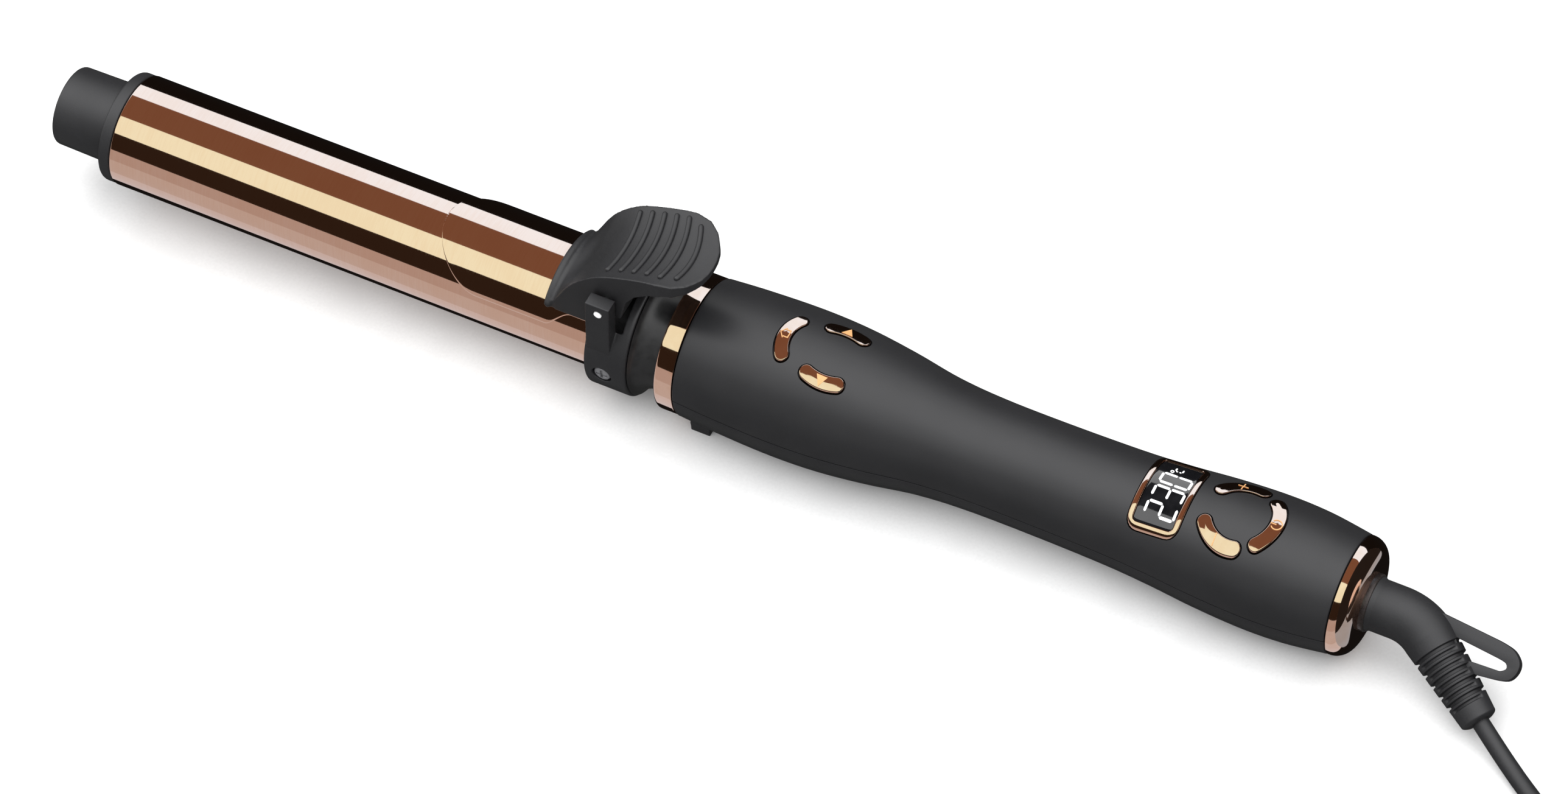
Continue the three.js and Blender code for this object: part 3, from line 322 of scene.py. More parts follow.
def add(tree, kind, links=None, **settings):
    """Adds a node with its settings, and links or sets its inputs."""
    made = tree.nodes.new(kind)
    for key, value in settings.items():
        setattr(made, key, value)
    for key, value in (links or {}).items():
        if isinstance(value, bpy.types.NodeSocket):
            tree.links.new(value, made.inputs[key])
        else:
            made.inputs[key].default_value = value
    return made


PATCH_MM = 14
TINT_SPAN = (0.18, 0.32)                          # where the wandering tint is all dark, and all light


def finish(name, dark, light, grain_mm, depth_mm, rough, metallic=0.0, stretch=(1, 1, 1), shader=None):
    """A surface whose colour wanders from dark to light over patches, with a fine grain in the bump and
    in the roughness. stretch lengthens the grain along an axis, as a polishing wheel does."""
    made = bpy.data.materials.new(name)
    made.use_nodes = True
    tree = made.node_tree
    tree.nodes.clear()
    place = add(tree, "ShaderNodeTexCoord")
    laid = add(tree, "ShaderNodeMapping", {"Vector": place.outputs["Object"],
        "Scale": [1 / (grain_mm * MM * s) for s in stretch]})
    grain = add(tree, "ShaderNodeTexNoise", {"Vector": laid.outputs["Vector"], "Scale": 1.0,
        "Detail": 3.0})
    patches = add(tree, "ShaderNodeTexNoise", {"Vector": place.outputs["Object"],
        "Scale": 1 / (PATCH_MM * MM), "Detail": 2.0})
    wander = add(tree, "ShaderNodeMath", {0: patches.outputs["Fac"], 1: grain.outputs["Fac"]},
        operation="MULTIPLY")
    tint = add(tree, "ShaderNodeValToRGB", {"Fac": wander.outputs["Value"]})
    for i, code in enumerate((dark, light)):
        tint.color_ramp.elements[i].position = TINT_SPAN[i]
        tint.color_ramp.elements[i].color = srgb(code)
    gloss = add(tree, "ShaderNodeMapRange", {"Value": grain.outputs["Fac"], "From Min": 0.3,
        "From Max": 0.7, "To Min": rough[0], "To Max": rough[1]})
    settings = {"Base Color": tint.outputs["Color"], "Roughness": gloss.outputs["Result"],
        "Metallic": metallic}
    if depth_mm:
        bump = add(tree, "ShaderNodeBump", {"Height": grain.outputs["Fac"], "Strength": 1.0,
            "Distance": depth_mm * MM})
        settings["Normal"] = bump.outputs["Normal"]
    settings.update(shader or {})
    surface = add(tree, "ShaderNodeBsdfPrincipled", settings)
    add(tree, "ShaderNodeOutputMaterial", {"Surface": surface.outputs["BSDF"]})
    return made


# Polished and coated aluminium: a clean mirror, with hairlines round the tube that barely soften it.
ROSE_BARREL = finish("rose_gold_coated_aluminium", "#EAB497", "#ECB89C", 0.5, 0, (0.045, 0.055), 1.0,
    stretch=(1, 14, 14))
# Vacuum-plated ABS: the same mirror without the hairlines, a trace softer where fingers rub it.
ROSE_PLATE = finish("rose_gold_plated_abs", "#E9B395", "#EDB99D", 3, 0, (0.045, 0.06), 1.0)
# Soft-touch painted ABS: a charcoal sheen with a grain finer than the eye resolves, drawn at 0.25 mm.
SOFT_SHELL = finish("soft_touch_painted_abs", "#1E1E20", "#212123", 0.25, 0.005, (0.36, 0.42))
# Glass-filled nylon, spark-eroded mould: a slightly coarser matte than the shells.
MATT_NYLON = finish("textured_black_nylon", "#1F1F21", "#232325", 0.35, 0.01, (0.38, 0.46))
# Polished phenolic: the heat-proof neck, dark and glossy.
GLOSS_NECK = finish("polished_phenolic", "#1E1E1F", "#262627", 2, 0, (0.3, 0.38))
# Soft PVC: darker, with a rubbery blur to its highlights.
SOFT_PVC = finish("moulded_soft_pvc", "#1F1F21", "#242426", 0.4, 0.01, (0.42, 0.5))
CORD_PVC = finish("extruded_pvc_sheath", "#1E1E20", "#232325", 0.5, 0.008, (0.38, 0.46))
# Smoked acrylic: near black with a wet gloss.
SMOKED = finish("smoked_acrylic", "#121214", "#1A1A1C", 4, 0, (0.05, 0.09), shader={"IOR": 1.49})
BRONZE_RIM = finish("dark_bronze_lacquer", "#2E2826", "#383130", 0.6, 0, (0.25, 0.33), 0.4)
# Printed ink lines, slightly raised.
PRINT_GOLD = finish("gold_print", "#CE9A63", "#D9A66E", 0.3, 0, (0.35, 0.45))
DIGIT_WHITE = finish("lit_white_segments", "#F2F4F6", "#FFFFFF", 0.5, 0, (0.3, 0.4),
    shader={"Emission Color": srgb("#FFFFFF"), "Emission Strength": 0.9})
STEEL = finish("zinc_plated_steel", "#8C8D90", "#A3A4A7", 0.3, 0.002, (0.25, 0.38), 1.0)
# Painted highlight: the steel hinge pin is coloured near white with little metal, so its end shows as a white
# glint.
PIN_PAINTED_GLINT = finish("pin_steel_painted_highlight", "#F4F4F4", "#FFFFFF", 0.2, 0.002, (0.3, 0.4), 0.1)
SCREW_BLACK = finish("blackened_steel_screw", "#6E6E70", "#808083", 0.25, 0.003, (0.4, 0.5), 0.4)
ALUMINIUM = finish("extruded_aluminium", "#B0B1B3", "#C4C5C7", 0.3, 0.004, (0.3, 0.45), 1.0,
    stretch=(12, 1, 1))
BRASS = finish("rolled_brass", "#C2A051", "#D3B468", 0.4, 0.002, (0.2, 0.34), 1.0, stretch=(8, 1, 1))
CERAMIC = finish("fired_ceramic", "#DDD8CE", "#EBE7DF", 0.3, 0.01, (0.55, 0.7))
ACETAL = finish("moulded_acetal", "#E2DFD8", "#EFEDE8", 0.4, 0.006, (0.35, 0.45))
SOLDER_MASK = finish("green_solder_mask", "#175233", "#20683F", 0.8, 0.004, (0.3, 0.42))
INSIDE_PLASTIC = finish("plain_black_abs", "#252527", "#313134", 0.4, 0.008, (0.4, 0.55))

BY_SLOT = {"rose_gold_plate": ROSE_PLATE, "rose_gold_barrel": ROSE_BARREL,
    "black_soft_shell": SOFT_SHELL, "black_plastic": INSIDE_PLASTIC, "black_rubber": SOFT_PVC,
    "cord_sheath": CORD_PVC, "steel": STEEL, "aluminium": ALUMINIUM,
    "brass": BRASS, "ceramic": CERAMIC, "acetal": ACETAL,
    "circuit_board": SOLDER_MASK, "display_glass": SMOKED}


def dress_inner_nodes():
    """Every CAD node that still shows takes its slot's finish."""
    for name, node in frame["nodes"].items():
        node.data.materials.clear()
        node.data.materials.append(BY_SLOT[SLOTS[name]])


# ---- camera ----

def place_camera():
    lens = bpy.data.cameras.new("camera")
    lens.lens = 167.702
    lens.sensor_width = 36.0
    lens.clip_start = 0.05
    lens.clip_end = 50.0
    camera = bpy.data.objects.new("camera", lens)
    scene.collection.objects.link(camera)
    eye = Vector((0.64089, -0.98123, 1.61117))
    target = Vector((0.02724, -0.00489, 0.02))
    aim = (target - eye).to_track_quat("-Z", "Y").to_matrix().to_4x4()
    camera.matrix_world = Matrix.Translation(eye) @ aim @ Matrix.Rotation(math.radians(-6.582), 4, "Z")
    scene.camera = camera


# ---- cord, coil, tie and plug, on the table ----

RELIEF_CORNER = 14                                # its bend's corner, behind the cap
RELIEF_BEND_R = 17
RELIEF_TAIL = 31.3                                # from the corner to where the cord leaves


def relief_line():
    """The strain relief's middle line in the iron's frame, and where it ends."""
    azimuth = math.radians(33)
    drop = math.radians(20)
    level = Vector((math.cos(azimuth) * math.cos(drop), -math.sin(azimuth) * math.cos(drop),
        -math.sin(drop)))
    tilt = math.atan2(-AXIS.z, AXIS.x)
    tail = Matrix.Rotation(-tilt, 3, "Y") @ level
    corner = Vector((CAP_REAR + RELIEF_CORNER, 0, 0))
    reach = RELIEF_BEND_R * math.tan(math.acos(tail.x) / 2)
    start = Vector((CAP_REAR + 0.5, 0, 0))
    bend_from = corner - Vector((reach, 0, 0))
    bend_to = corner + tail * reach
    return start, bend_from, corner, bend_to, corner + tail * RELIEF_TAIL, tail


RELIEF = relief_line()
EXIT = (IRON @ RELIEF[4]) / MM                    # mm, on the table's frame
LIE = 2.5                                         # height of the cord's middle on the table
# Forward and sideways from the exit, and the share of the exit's height that is left.
LEAD_ROUTE = [(0, 0, 1), (2.4, -1.56, 0.83), (4.9, -3.2, 0.655), (7.4, -4.8, 0.485), (9.9, -6.4, 0.33),
    (12.4, -8, 0.2), (15, -9.7, 0.1), (17.8, -11.5, 0.03), (21, -13.6, 0), (25, -16.2, 0),
    (29, -18.7, 0.01), (33.5, -21.4, 0.04), (38, -23.9, 0.1), (42.5, -26.1, 0.16),
    (46.7, -28, 0.2), (50.8, -29.4, 0.23),
    (54.8, -30.2, 0.232), (59, -30.5, 0.232)]
# From the coil's middle and above its top face.
TAIL_ROUTE = [(-14, -29.5, 2.8), (-10, -31.1, 2.9), (-6, -31.7, 3.1), (0.8, -30.5, 3.7), (6.9, -27, 4.7),
    (11.3, -21.7, 6), (13.7, -15.2, 7.4), (14, -10.5, 7.8)]
COIL_MIDDLE = Vector((EXIT.x + 75.2, EXIT.y + 3.6))
COIL_TOP = 20.85
RING_R = (32.55, 27.6, 22.65)
LEVELS = (3.6, 8.55, 13.5, 18.45, 23.65)
# Turn angle where a change starts and ends, and the new ring or level.
RING_CHANGES = [(300, 360, 1), (660, 720, 2), (1240, 1300, 1), (1600, 1660, 0), (2180, 2240, 1),
    (2540, 2600, 2), (3120, 3180, 1), (3480, 3540, 0)]
LEVEL_CHANGES = [(950, 1010, 1), (1890, 1950, 2), (2830, 2890, 3), (3740, 3830, 4)]
COIL_FROM = -95.0
COIL_TURN = 3940.0


def eased(angle, changes, values):
    value = values[0]
    for start, end, step in changes:
        t = min(max((angle - start) / (end - start), 0.0), 1.0)
        value += (values[step] - value) * t * t * (3 - 2 * t)
    return value


def cord_points():
    lead = [(EXIT.x + x, EXIT.y + y, LIE + k * (EXIT.z - LIE)) for x, y, k in LEAD_ROUTE]
    coil = []
    steps = int(COIL_TURN / 6)
    for i in range(steps + 1):
        turned = COIL_TURN * i / steps
        angle = math.radians(COIL_FROM + turned)
        r = eased(turned, RING_CHANGES, RING_R)
        coil.append((COIL_MIDDLE.x + r * math.cos(angle), COIL_MIDDLE.y + r * math.sin(angle),
            eased(turned, LEVEL_CHANGES, LEVELS)))
    tail = [(COIL_MIDDLE.x + x, COIL_MIDDLE.y + y, COIL_TOP + z) for x, y, z in TAIL_ROUTE]
    ends = curve([*lead, *coil[3:8]], 5)[:len(lead) * 5]
    joined = curve([*coil[-6:-2], *tail[1:]], 5)[10:]
    return [Vector(p) for p in ends] + [Vector(p) for p in coil[5:-6]] + joined


def lay_cord():
    points = cord_points()
    line = bpy.data.curves.new("mains_cord", "CURVE")
    line.dimensions = "3D"
    line.bevel_depth = CORD_R * MM
    line.bevel_resolution = 6
    line.use_fill_caps = True
    strand = line.splines.new("POLY")
    strand.points.add(len(points) - 1)
    for point, place in zip(strand.points, points):
        point.co = (*(place * MM), 1.0)
    line.materials.append(CORD_PVC)
    cord = bpy.data.objects.new("mains_cord", line)
    scene.collection.objects.link(cord)
    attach(cord, "handle")
    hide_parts("cord_lead", "cord_coil", "cord_tail")
    return cord


def coil_tie():
    """A flat strap round the coil's bundle, with a moulded buckle."""
    half, height, lift = 7.7, 20.35, 0.85
    middle = COIL_MIDDLE.y + 27.6
    thick = 0.8
    rows = []
    turns = [(middle - half, lift), (middle + half, lift), (middle + half, lift + height),
        (middle - half, lift + height)]
    inner = rounded(turns, 2.2, 6)
    grown = [(y + math.copysign(thick, y - middle), z + math.copysign(thick, z - height / 2))
        for y, z in turns]
    outer = rounded(grown, 3, 6)
    x0 = COIL_MIDDLE.x - 3
    for (ya, za), (yb, zb) in zip(inner, outer):
        section = rounded([(0, 0), (6, 0), (6, 1), (0, 1)], 0.3, 3)
        rows.append([(x0 + u, ya + (yb - ya) * v, za + (zb - za) * v) for u, v in section])
    strap = rings(rows, closed_rows=True)
    buckle = edged(box(x0 - 0.9, x0 + 6.9, middle - 3.4, middle + 3.4, lift + height + 0.1,
        lift + height + 2), 0.5)
    return piece("coil_strap", together(strap, buckle), SOFT_PVC, "handle", ["coil_tie"],
        place=TABLE)


def mains_plug():
    """A flat two-blade plug lying on the coil: waisted grip, ribbed neck, bevelled face."""
    entry = Vector((COIL_MIDDLE.x + 14, COIL_MIDDLE.y - 10.5, COIL_TOP + 7.8))
    # Distance from the cord, half width, half height and corner.
    stations = [(14, 5.2, 5.0, 3), (15, 7.0, 5.8, 3.2), (18, 9.6, 6.6, 3.6), (22, 10.7, 6.9, 4),
        (27, 10.4, 6.7, 4), (32, 10.9, 7.1, 4), (37, 11.8, 7.4, 4.2), (39.2, 12, 7.5, 4.2),
        (39.9, 11.6, 7.2, 4), (40, 10.8, 6.6, 3.8)]
    rows = []
    for y, w, h, corner in stations:
        section = rounded([(-w, -h), (w, -h), (w, h), (-w, h)], corner * 1.6, 8)
        rows.append([(entry.x + a, entry.y + y, entry.z + b) for a, b in section])
    neck = [(0.3, 0), (0.3, 3.4)]
    for i in range(3):
        at = 3 + i * 3.2
        r = 3.5 + 0.12 * at
        neck += [(at, r), (at + 0.15, r - 0.8), (at + 0.85, r - 0.8), (at + 1, r)]
    neck += [(15, 5.4), (15, 0)]
    cone = lathe(neck, 48)
    turn = Matrix(((0, 1, 0, entry.x), (1, 0, 0, entry.y), (0, 0, 1, entry.z), (0, 0, 0, 1)))
    cone.transform(turn)
    bmesh.ops.recalc_face_normals(cone, faces=cone.faces)
    made = [piece("mains_plug", together(rings(rows), cone), MATT_NYLON, "handle",
        ["plug_body"], place=TABLE)]
    for i, side in enumerate((-1, 1)):
        x = entry.x + side * 6.35
        outline = rounded([(-3.15, 34.3), (3.15, 34.3), (3.15, 57), (-3.15, 57)], [0.2, 0.2, 1.6, 1.6], 5)
        blade = prism([(entry.y + b, entry.z + a) for a, b in outline], x - 0.75, x + 0.75, "x")
        hole = rod(0, 0, 1.5, -2, 2, 24)
        hole.transform(turned_at((x, entry.y + 53.4, entry.z), math.pi / 2))
        made.append(piece(f"blade_{i + 1}", edged(carve(blade, hole), 0.15, 2), BRASS, "handle",
            [f"plug_blade_{i + 1}"], place=TABLE))
    return made


# ---- barrel head: tip, barrel, collar, neck ----

def cool_tip():
    x0, x1, r = FLANGE
    spigot = 14.4
    profile = rounded([(TIP_END, 0), (TIP_END, TIP_R), (x0, TIP_R + 0.25), (x0, r), (x1, r),
        (x1, spigot), (x1 + 5, spigot), (x1 + 5, 0)], [0, 1.1, 0.5, 1.2, 0.7, 0.1, 0.4, 0], 6)
    piece("tip_moulding", lathe(profile, 192), MATT_NYLON, "barrel_head", ["cool_tip"])


def barrel_tube():
    x0, x1 = BARREL
    profile = rounded([(x0, BARREL_R - 1.1), (x0, BARREL_R), (x1, BARREL_R), (x1, BARREL_R - 1.1)], 0.3, 4)
    piece("barrel_tube", lathe(profile, 256), ROSE_BARREL, "barrel_head", ["barrel"])


def neck_tube():
    bell = [(-14.1, 18.9), (-13.2, 17.4), (-11.6, 16.2), (-9, 15.3), (-6.2, 15), (0.6, 14.9)]
    flare = [tuple(p) for p in curve(bell, 6)]
    profile = [(-24.4, 13), (-24.4, NECK_R), (-14.1, NECK_R), *flare, (0.6, 13)]
    piece("neck_tube", lathe(profile, 192), GLOSS_NECK, "barrel_head", ["neck_sleeve"])


def collar():
    """A ring cut open on top, with two flat-topped ears for the hinge."""
    x0, x1, r = COLLAR
    inside, outside, top = EAR
    ring = lathe(rounded([(x0, 16.3), (x0, r), (x1, r), (x1, 14.9), (-24.6, 14.9), (-24.6, 16.3)],
        [0.3, 0.7, 0.9, 0.3, 0.1, 0.1], 4), 192)
    notch = box(x0 - 1, x1 - 2.6, -inside, inside, 3, 40)
    outline = [(x0 + 0.05, 0), (x0 + 1.8, top), (x0 + 9, top), (x0 + 7.6, 6), (x0 + 10, 0)]
    ears = [prism(outline, *span, "y") for span in ((inside, outside), (-outside, -inside))]
    bore = lathe([(x0 - 1, 0), (x0 - 1, 16.3), (x1, 16.3), (x1, 0)], 192)
    ears = carve(together(*ears), bore)
    body = weld(carve(ring, notch), ears)
    seats = [rod(*COLLAR_SCREW, SCREW_SEAT_R, *span) for span in ((17.6, 22), (-22, -17.6))]
    pin = rod(HINGE[0], HINGE[1], 1.35, -30, 30)
    body = melted(carve(body, *seats, pin), 0.22, 2)
    piece("collar_moulding", body, MATT_NYLON, "barrel_head", ["collar"], sharp=60)


def crossed(head, low, reach, soft):
    """A turned screw head with a cross pressed into it."""
    half = 0.42
    cross = [box(low, 3, -half, half, -reach, reach), box(low, 3, -reach, reach, -half, half)]
    return edged(carve(head, *cross), soft, 2, 40)


def collar_screw(name, side, node):
    """A domed head on one side of the collar."""
    head = lathe(rounded([(0, 0), (0, 1.2), (0.2, 2.5), (1.3, 2.5), (1.75, 1.4), (1.8, 0)],
        [0, 0.1, 0.1, 0.5, 0.4, 0], 4), 64)
    head = crossed(head, 0.9, 1.75, 0.08)
    x, z = COLLAR_SCREW
    head.transform(turned_at((x, side * (COLLAR[2] - 2.0), z), side * math.pi / 2))
    piece(name, head, SCREW_BLACK, "barrel_head", [node])


def hinge_pin():
    half = EAR[1] + 0.1
    profile = rounded([(-half, 0), (-half, 1.15), (half, 1.15), (half, 0)], [0, 0.3, 0.3, 0], 4)
    pin = lathe(profile, 40)
    pin.transform(turned_at((HINGE[0], 0, HINGE[1]), math.pi / 2))
    # The pin takes the near-white finish, a painted highlight on its ends.
    piece("hinge_pin_painted_highlight", pin, PIN_PAINTED_GLINT, "barrel_head", ["hinge_pin"])


# ---- clamp plate and thumb lever ----

CLAMP = (-77.4, -29.0, 16.35, 17.15)              # front, rear, bore and outside radius
CLAMP_HALF = 15.6
CLAMP_NARROW = 12.9


def clamp_plate():
    """A curved spring plate with a round front, narrowed at the rear where the lever grips it."""
    front, rear, bore, outside = CLAMP
    columns = [(front + CLAMP_HALF * (1 - math.cos(a)), CLAMP_HALF * math.sin(a))
        for a in (math.radians(2.5 * i) for i in range(37))]
    shoulder = rear - 11.5
    columns += [(columns[-1][0] + (shoulder - columns[-1][0]) * i / 12, CLAMP_HALF) for i in range(1, 13)]
    for i in range(1, 13):
        t = i / 12
        drawn_in = (CLAMP_NARROW - CLAMP_HALF) * t * t * (3 - 2 * t)
        columns.append((shoulder + 7 * t, CLAMP_HALF + drawn_in))
    columns += [(rear - 4.5 + 0.75 * i, CLAMP_NARROW) for i in range(1, 7)]
    edge = [Vector((x, side * w)) for side in (1, -1) for x, w in columns]
    across = [-1, -0.997, -0.992, -0.985, -0.975, -0.96, -0.94]
    across = across + [-0.9 + 1.8 * i / 30 for i in range(31)] + [-v for v in reversed(across)]
    soft = 0.32
    top, under = [], []
    for x, w in columns:
        top_row, under_row = [], []
        for v in across:
            y = v * w
            near = (rear - x) + 0.001
            if abs(v) > 0.9 or x < front + 4:
                near = min(near, *((Vector((x, y)) - p).length for p in edge))
            lost = soft * (1 - math.sqrt(max(0.0, 1 - (1 - near / soft) ** 2))) if near < soft else 0.0
            angle = math.asin(y / outside)
            top_row.append((x, (outside - lost) * math.sin(angle), (outside - lost) * math.cos(angle)))
            under_row.append((x, bore * math.sin(angle), bore * math.cos(angle)))
        top.append(top_row)
        under.append(list(reversed(under_row)))
    rows = [a + b for a, b in zip(top, under)]
    piece("clamp_plate_polished", rings(rows), ROSE_BARREL, "clamp", ["clamp_plate"],
        sharp=50)


LEVER_MID = [(-41, 18.6), (-38.5, 18.9), (-37.5, 19.2), (-34.4, 21), (-31, 24.8), (-26, 30.2),
    (-21.5, 33.8), (-14.4, 37.2), (-8, 39.3), (-3, 40), (5.3, 39.6)]
LEVER_EDGE = [(-41, 13.1), (-38.5, 15.2), (-37.5, 17), (-34.4, 23), (-31, 28), (-26, 33), (-21.5, 36),
    (-14.4, 39), (-8, 41), (-3, 41.5), (5.3, 41)]
LEVER_UNDER = [(-41, 12), (-27.4, 12), (-26.6, 19.4), (-17.4, 19.4), (-16.9, 21.5), (-15.4, 27.6),
    (-12.5, 31.8), (-8, 35.2), (-3, 36.8), (5.3, 37.3)]
LEVER_WIDTH = [(-41, 12.7), (-38, 13.2), (-5.7, 13.2), (-1.5, 12.3), (1.6, 10), (3.6, 7), (4.5, 5.2),
    (5.1, 2.6), (5.3, 0)]
LEVER_HALF = 13.2
LEVER_THIN = 0.6
SADDLE_R = 17.45                                  # the hollow that rides on the plate, and its end
SADDLE_END = -16
RIDGES = (-22.4, -18.4, -14.5, -10.6, -6.7, -2.5)


def along(points, x, steps=8):
    line = curve(points, steps)
    return float(np.interp(x, [p.x for p in line], [p.y for p in line]))


def lever_top(x, y):
    middle = along(LEVER_MID, x)
    return middle + (along(LEVER_EDGE, x) - middle) * min(1.0, (y / LEVER_HALF) ** 2)


def thumb_lever():
    """A saddle that rides on the plate, climbs over the hinge and flares to a ribbed thumb pad."""
    under_x = [p[0] for p in LEVER_UNDER]
    under_z = [p[1] for p in LEVER_UNDER]
    wide_x = [p[0] for p in LEVER_WIDTH]
    wide_w = [p[1] for p in LEVER_WIDTH]
    stations = [-41 + 0.5 * i for i in range(89)] + [3.5, 4, 4.4, 4.8, 5.05, 5.2, 5.29]
    rows = []
    for x in stations:
        w = float(np.interp(x, wide_x, wide_w))
        ys = [w * (-1 + 2 * i / 40) for i in range(41)]
        low = float(np.interp(x, under_x, under_z))
        over = [(x, y, lever_top(x, y)) for y in ys]
        below = []
        for y, top in zip(ys, over):
            hollow = math.sqrt(max(0.0, SADDLE_R ** 2 - y * y)) if x < SADDLE_END else 0.0
            below.append((x, y, min(max(low, hollow), top[2] - LEVER_THIN)))
        rows.append(over + list(reversed(below)))
    body = rings(rows)
    lip = tube([(-40.2, 18.3 * math.sin(math.radians(a)), 18.3 * math.cos(math.radians(a)))
        for a in range(-44, 45, 2)], 1.25)
    ridges = []
    for i, x in enumerate(RIDGES):
        reach = 10.3 if i < 5 else 8.9
        bow = 1.0 + 0.14 * i
        skew = 0.045 + 0.01 * i
        path = []
        for k in range(33):
            share = -1 + k / 16
            y = 0.7 + reach * share
            at = x + bow * (1 - share ** 2) - skew * y
            path.append((at, y, lever_top(at, y) + 0.15))
        ridges.append(tube(path, 0.72))
    x, z = HINGE
    spring_room = [box(x - 3.8, x + 4.6, -4.2, 4.2, 0, z + 4.4),
        box(x - 7.9, x + 4.6, -4.2, 4.2, 0, z - 2.2)]
    body = melted(together(carve(body, *spring_room), lip), 0.28, 6)
    piece("lever_moulding", together(body, *ridges), MATT_NYLON, "clamp",
        ["thumb_lever"], sharp=70)


# ---- handle: ring, shells, buttons, display, stand ----

def front_ring():
    r = skin(0) - 0.1
    x0, x1 = RING
    bore = NECK_R + 0.8
    profile = rounded([(x0, bore), (x0, r), (x1, r), (x1, bore)], [0.3, 0.9, 0.25, 0.2], 8)
    piece("ring_polished", lathe(profile, 256), ROSE_PLATE, "handle", ["front_ring"])


# The arc's middle x and y, its radius, the button's middle angle and half its spread.
BUTTONS = {
    "home": (36.4, 0, 10.9, 180, 32.8), "up": (40.15, -4.95, 13.65, 90, 19.6),
    "down": (40.15, 4.95, 13.65, -90, 19.6), "plus": (159.4, 0, 9.95, 112.5, 33.5),
    "minus": (159.4, 0, 9.95, -112.5, 33.5), "power": (159.4, 0, 9.95, 0, 45)}
BUTTON_HALF = 1.93
BUTTON_PROUD = 0.5
BUTTON_FLOORS = (16, 12)                          # undersides of the front and the rear group


def bent_band(name, half):
    """The plan of a button: a band bent along an arc, with round ends."""
    cx, cy, r, middle, spread = BUTTONS[name]
    points = []
    for k in range(25):
        a = math.radians(middle - spread + 2 * spread * k / 24)
        points.append((cx + (r + half) * math.cos(a), cy + (r + half) * math.sin(a)))
    for end, sign in ((middle + spread, 1), (middle - spread, -1)):
        a = math.radians(end)
        ex, ey = cx + r * math.cos(a), cy + r * math.sin(a)
        for k in range(1, 12):
            b = a + math.pi * k / 12 if sign > 0 else a + math.pi + math.pi * k / 12
            points.append((ex + half * math.cos(b), ey + half * math.sin(b)))
        if sign > 0:
            for k in range(25):
                c = math.radians(middle + spread - 2 * spread * k / 24)
                points.append((cx + (r - half) * math.cos(c), cy + (r - half) * math.sin(c)))
    return points


def plateau(outline_at, steps):
    """Rows of an outline drawn in by steps of (inset, height over the skin)."""
    rows = []
    for inset, proud in steps:
        rows.append([(x, y, skin_top(x, y, proud)) for x, y in outline_at(inset)])
    return rows


def button(name):
    steps = [(0, 0.2), (0.05, 0.36), (0.14, 0.46), *[(inset, BUTTON_PROUD)
        for inset in (0.26, 0.3, 0.8, 1.3, 1.92)]]
    floor = BUTTON_FLOORS[BUTTONS[name][0] > HANDLE / 2]
    foot = [(x, y, floor) for x, y in bent_band(name, BUTTON_HALF)]
    body = rings([foot, *plateau(lambda inset: bent_band(name, BUTTON_HALF - inset), steps)])
    piece(f"{name}_cap", body, ROSE_PLATE, f"{name}_key", [f"{name}_button"],
        sharp=60)


def mark(name, shapes, body, material, proud):
    """Thin printed shapes lying on the skin; each shape is an outline in plan."""
    parts = []
    for outline in shapes:
        rows = [[(x, y, skin_top(x, y, level)) for x, y in outline] for level in (proud - 0.25, proud)]
        parts.append(rings(rows))
    piece(name, together(*parts), material, body, sharp=40)


def stroke(points, width):
    """The outline of a line of that width through points in plan."""
    points = [Vector(p) for p in points]
    left, right = [], []
    for i, p in enumerate(points):
        ahead = (points[min(i + 1, len(points) - 1)] - points[max(i - 1, 0)]).normalized()
        side = Vector((-ahead.y, ahead.x)) * width / 2
        left.append(tuple(p + side))
        right.append(tuple(p - side))
    return left + list(reversed(right))


# Lines about the button's middle: a house, a plus, a minus and a broken ring with a bar.
MARKS = {
    "home": [[(-0.1, -1.6), (-1.35, 0), (-0.1, 1.6)], [(-0.2, -1.15), (1.2, -1.15)],
        [(-0.2, 1.15), (1.2, 1.15)], [(1.2, -1.25), (1.2, 1.25)]],
    "plus": [[(-1.45, 0), (1.45, 0)], [(0, -1.45), (0, 1.45)]],
    "minus": [[(0, -1.6), (0, 1.6)]],
    "power": [[(1.5 * math.cos(a), 1.5 * math.sin(a)) for a in map(math.radians, range(-145, 146, 10))],
        [(-1.75, 0), (-0.1, 0)]]}
ARROWS = {"up": 1, "down": -1}
INK_WIDTH = 0.28
INK_PROUD = 0.63


def button_marks():
    for name, (cx, cy, r, angle, _) in BUTTONS.items():
        turn = math.radians(angle)
        x = cx + r * math.cos(turn)
        y = cy + r * math.sin(turn)
        if name in ARROWS:
            way = ARROWS[name]
            shapes = [[(x, y + way * 1.5), (x - 1.6, y - way * 1.3), (x + 1.6, y - way * 1.3)]]
        else:
            shapes = [stroke([(x + u, y + v) for u, v in line], INK_WIDTH) for line in MARKS[name]]
        mark(f"{name}_mark", shapes, f"{name}_key", PRINT_GOLD, INK_PROUD)


BEZEL = (138.15, 14.7, 12.1, 1.55)                # middle, length, half width and band


def bezel_plan(inset):
    x, length, half, _ = BEZEL
    h = length / 2 - inset
    w = half - inset
    corner = max(2.6 - inset, 0.5)
    plan = rounded([(x - h, -w), (x + h, -w), (x + h, w), (x - h, w)], corner * 1.3, 6)
    dense = []
    for a, b in zip(plan, plan[1:] + plan[:1]):
        parts = 10 if (Vector(a) - Vector(b)).length > 3 else 1
        dense += [tuple(Vector(a).lerp(Vector(b), k / parts)) for k in range(parts)]
    return dense


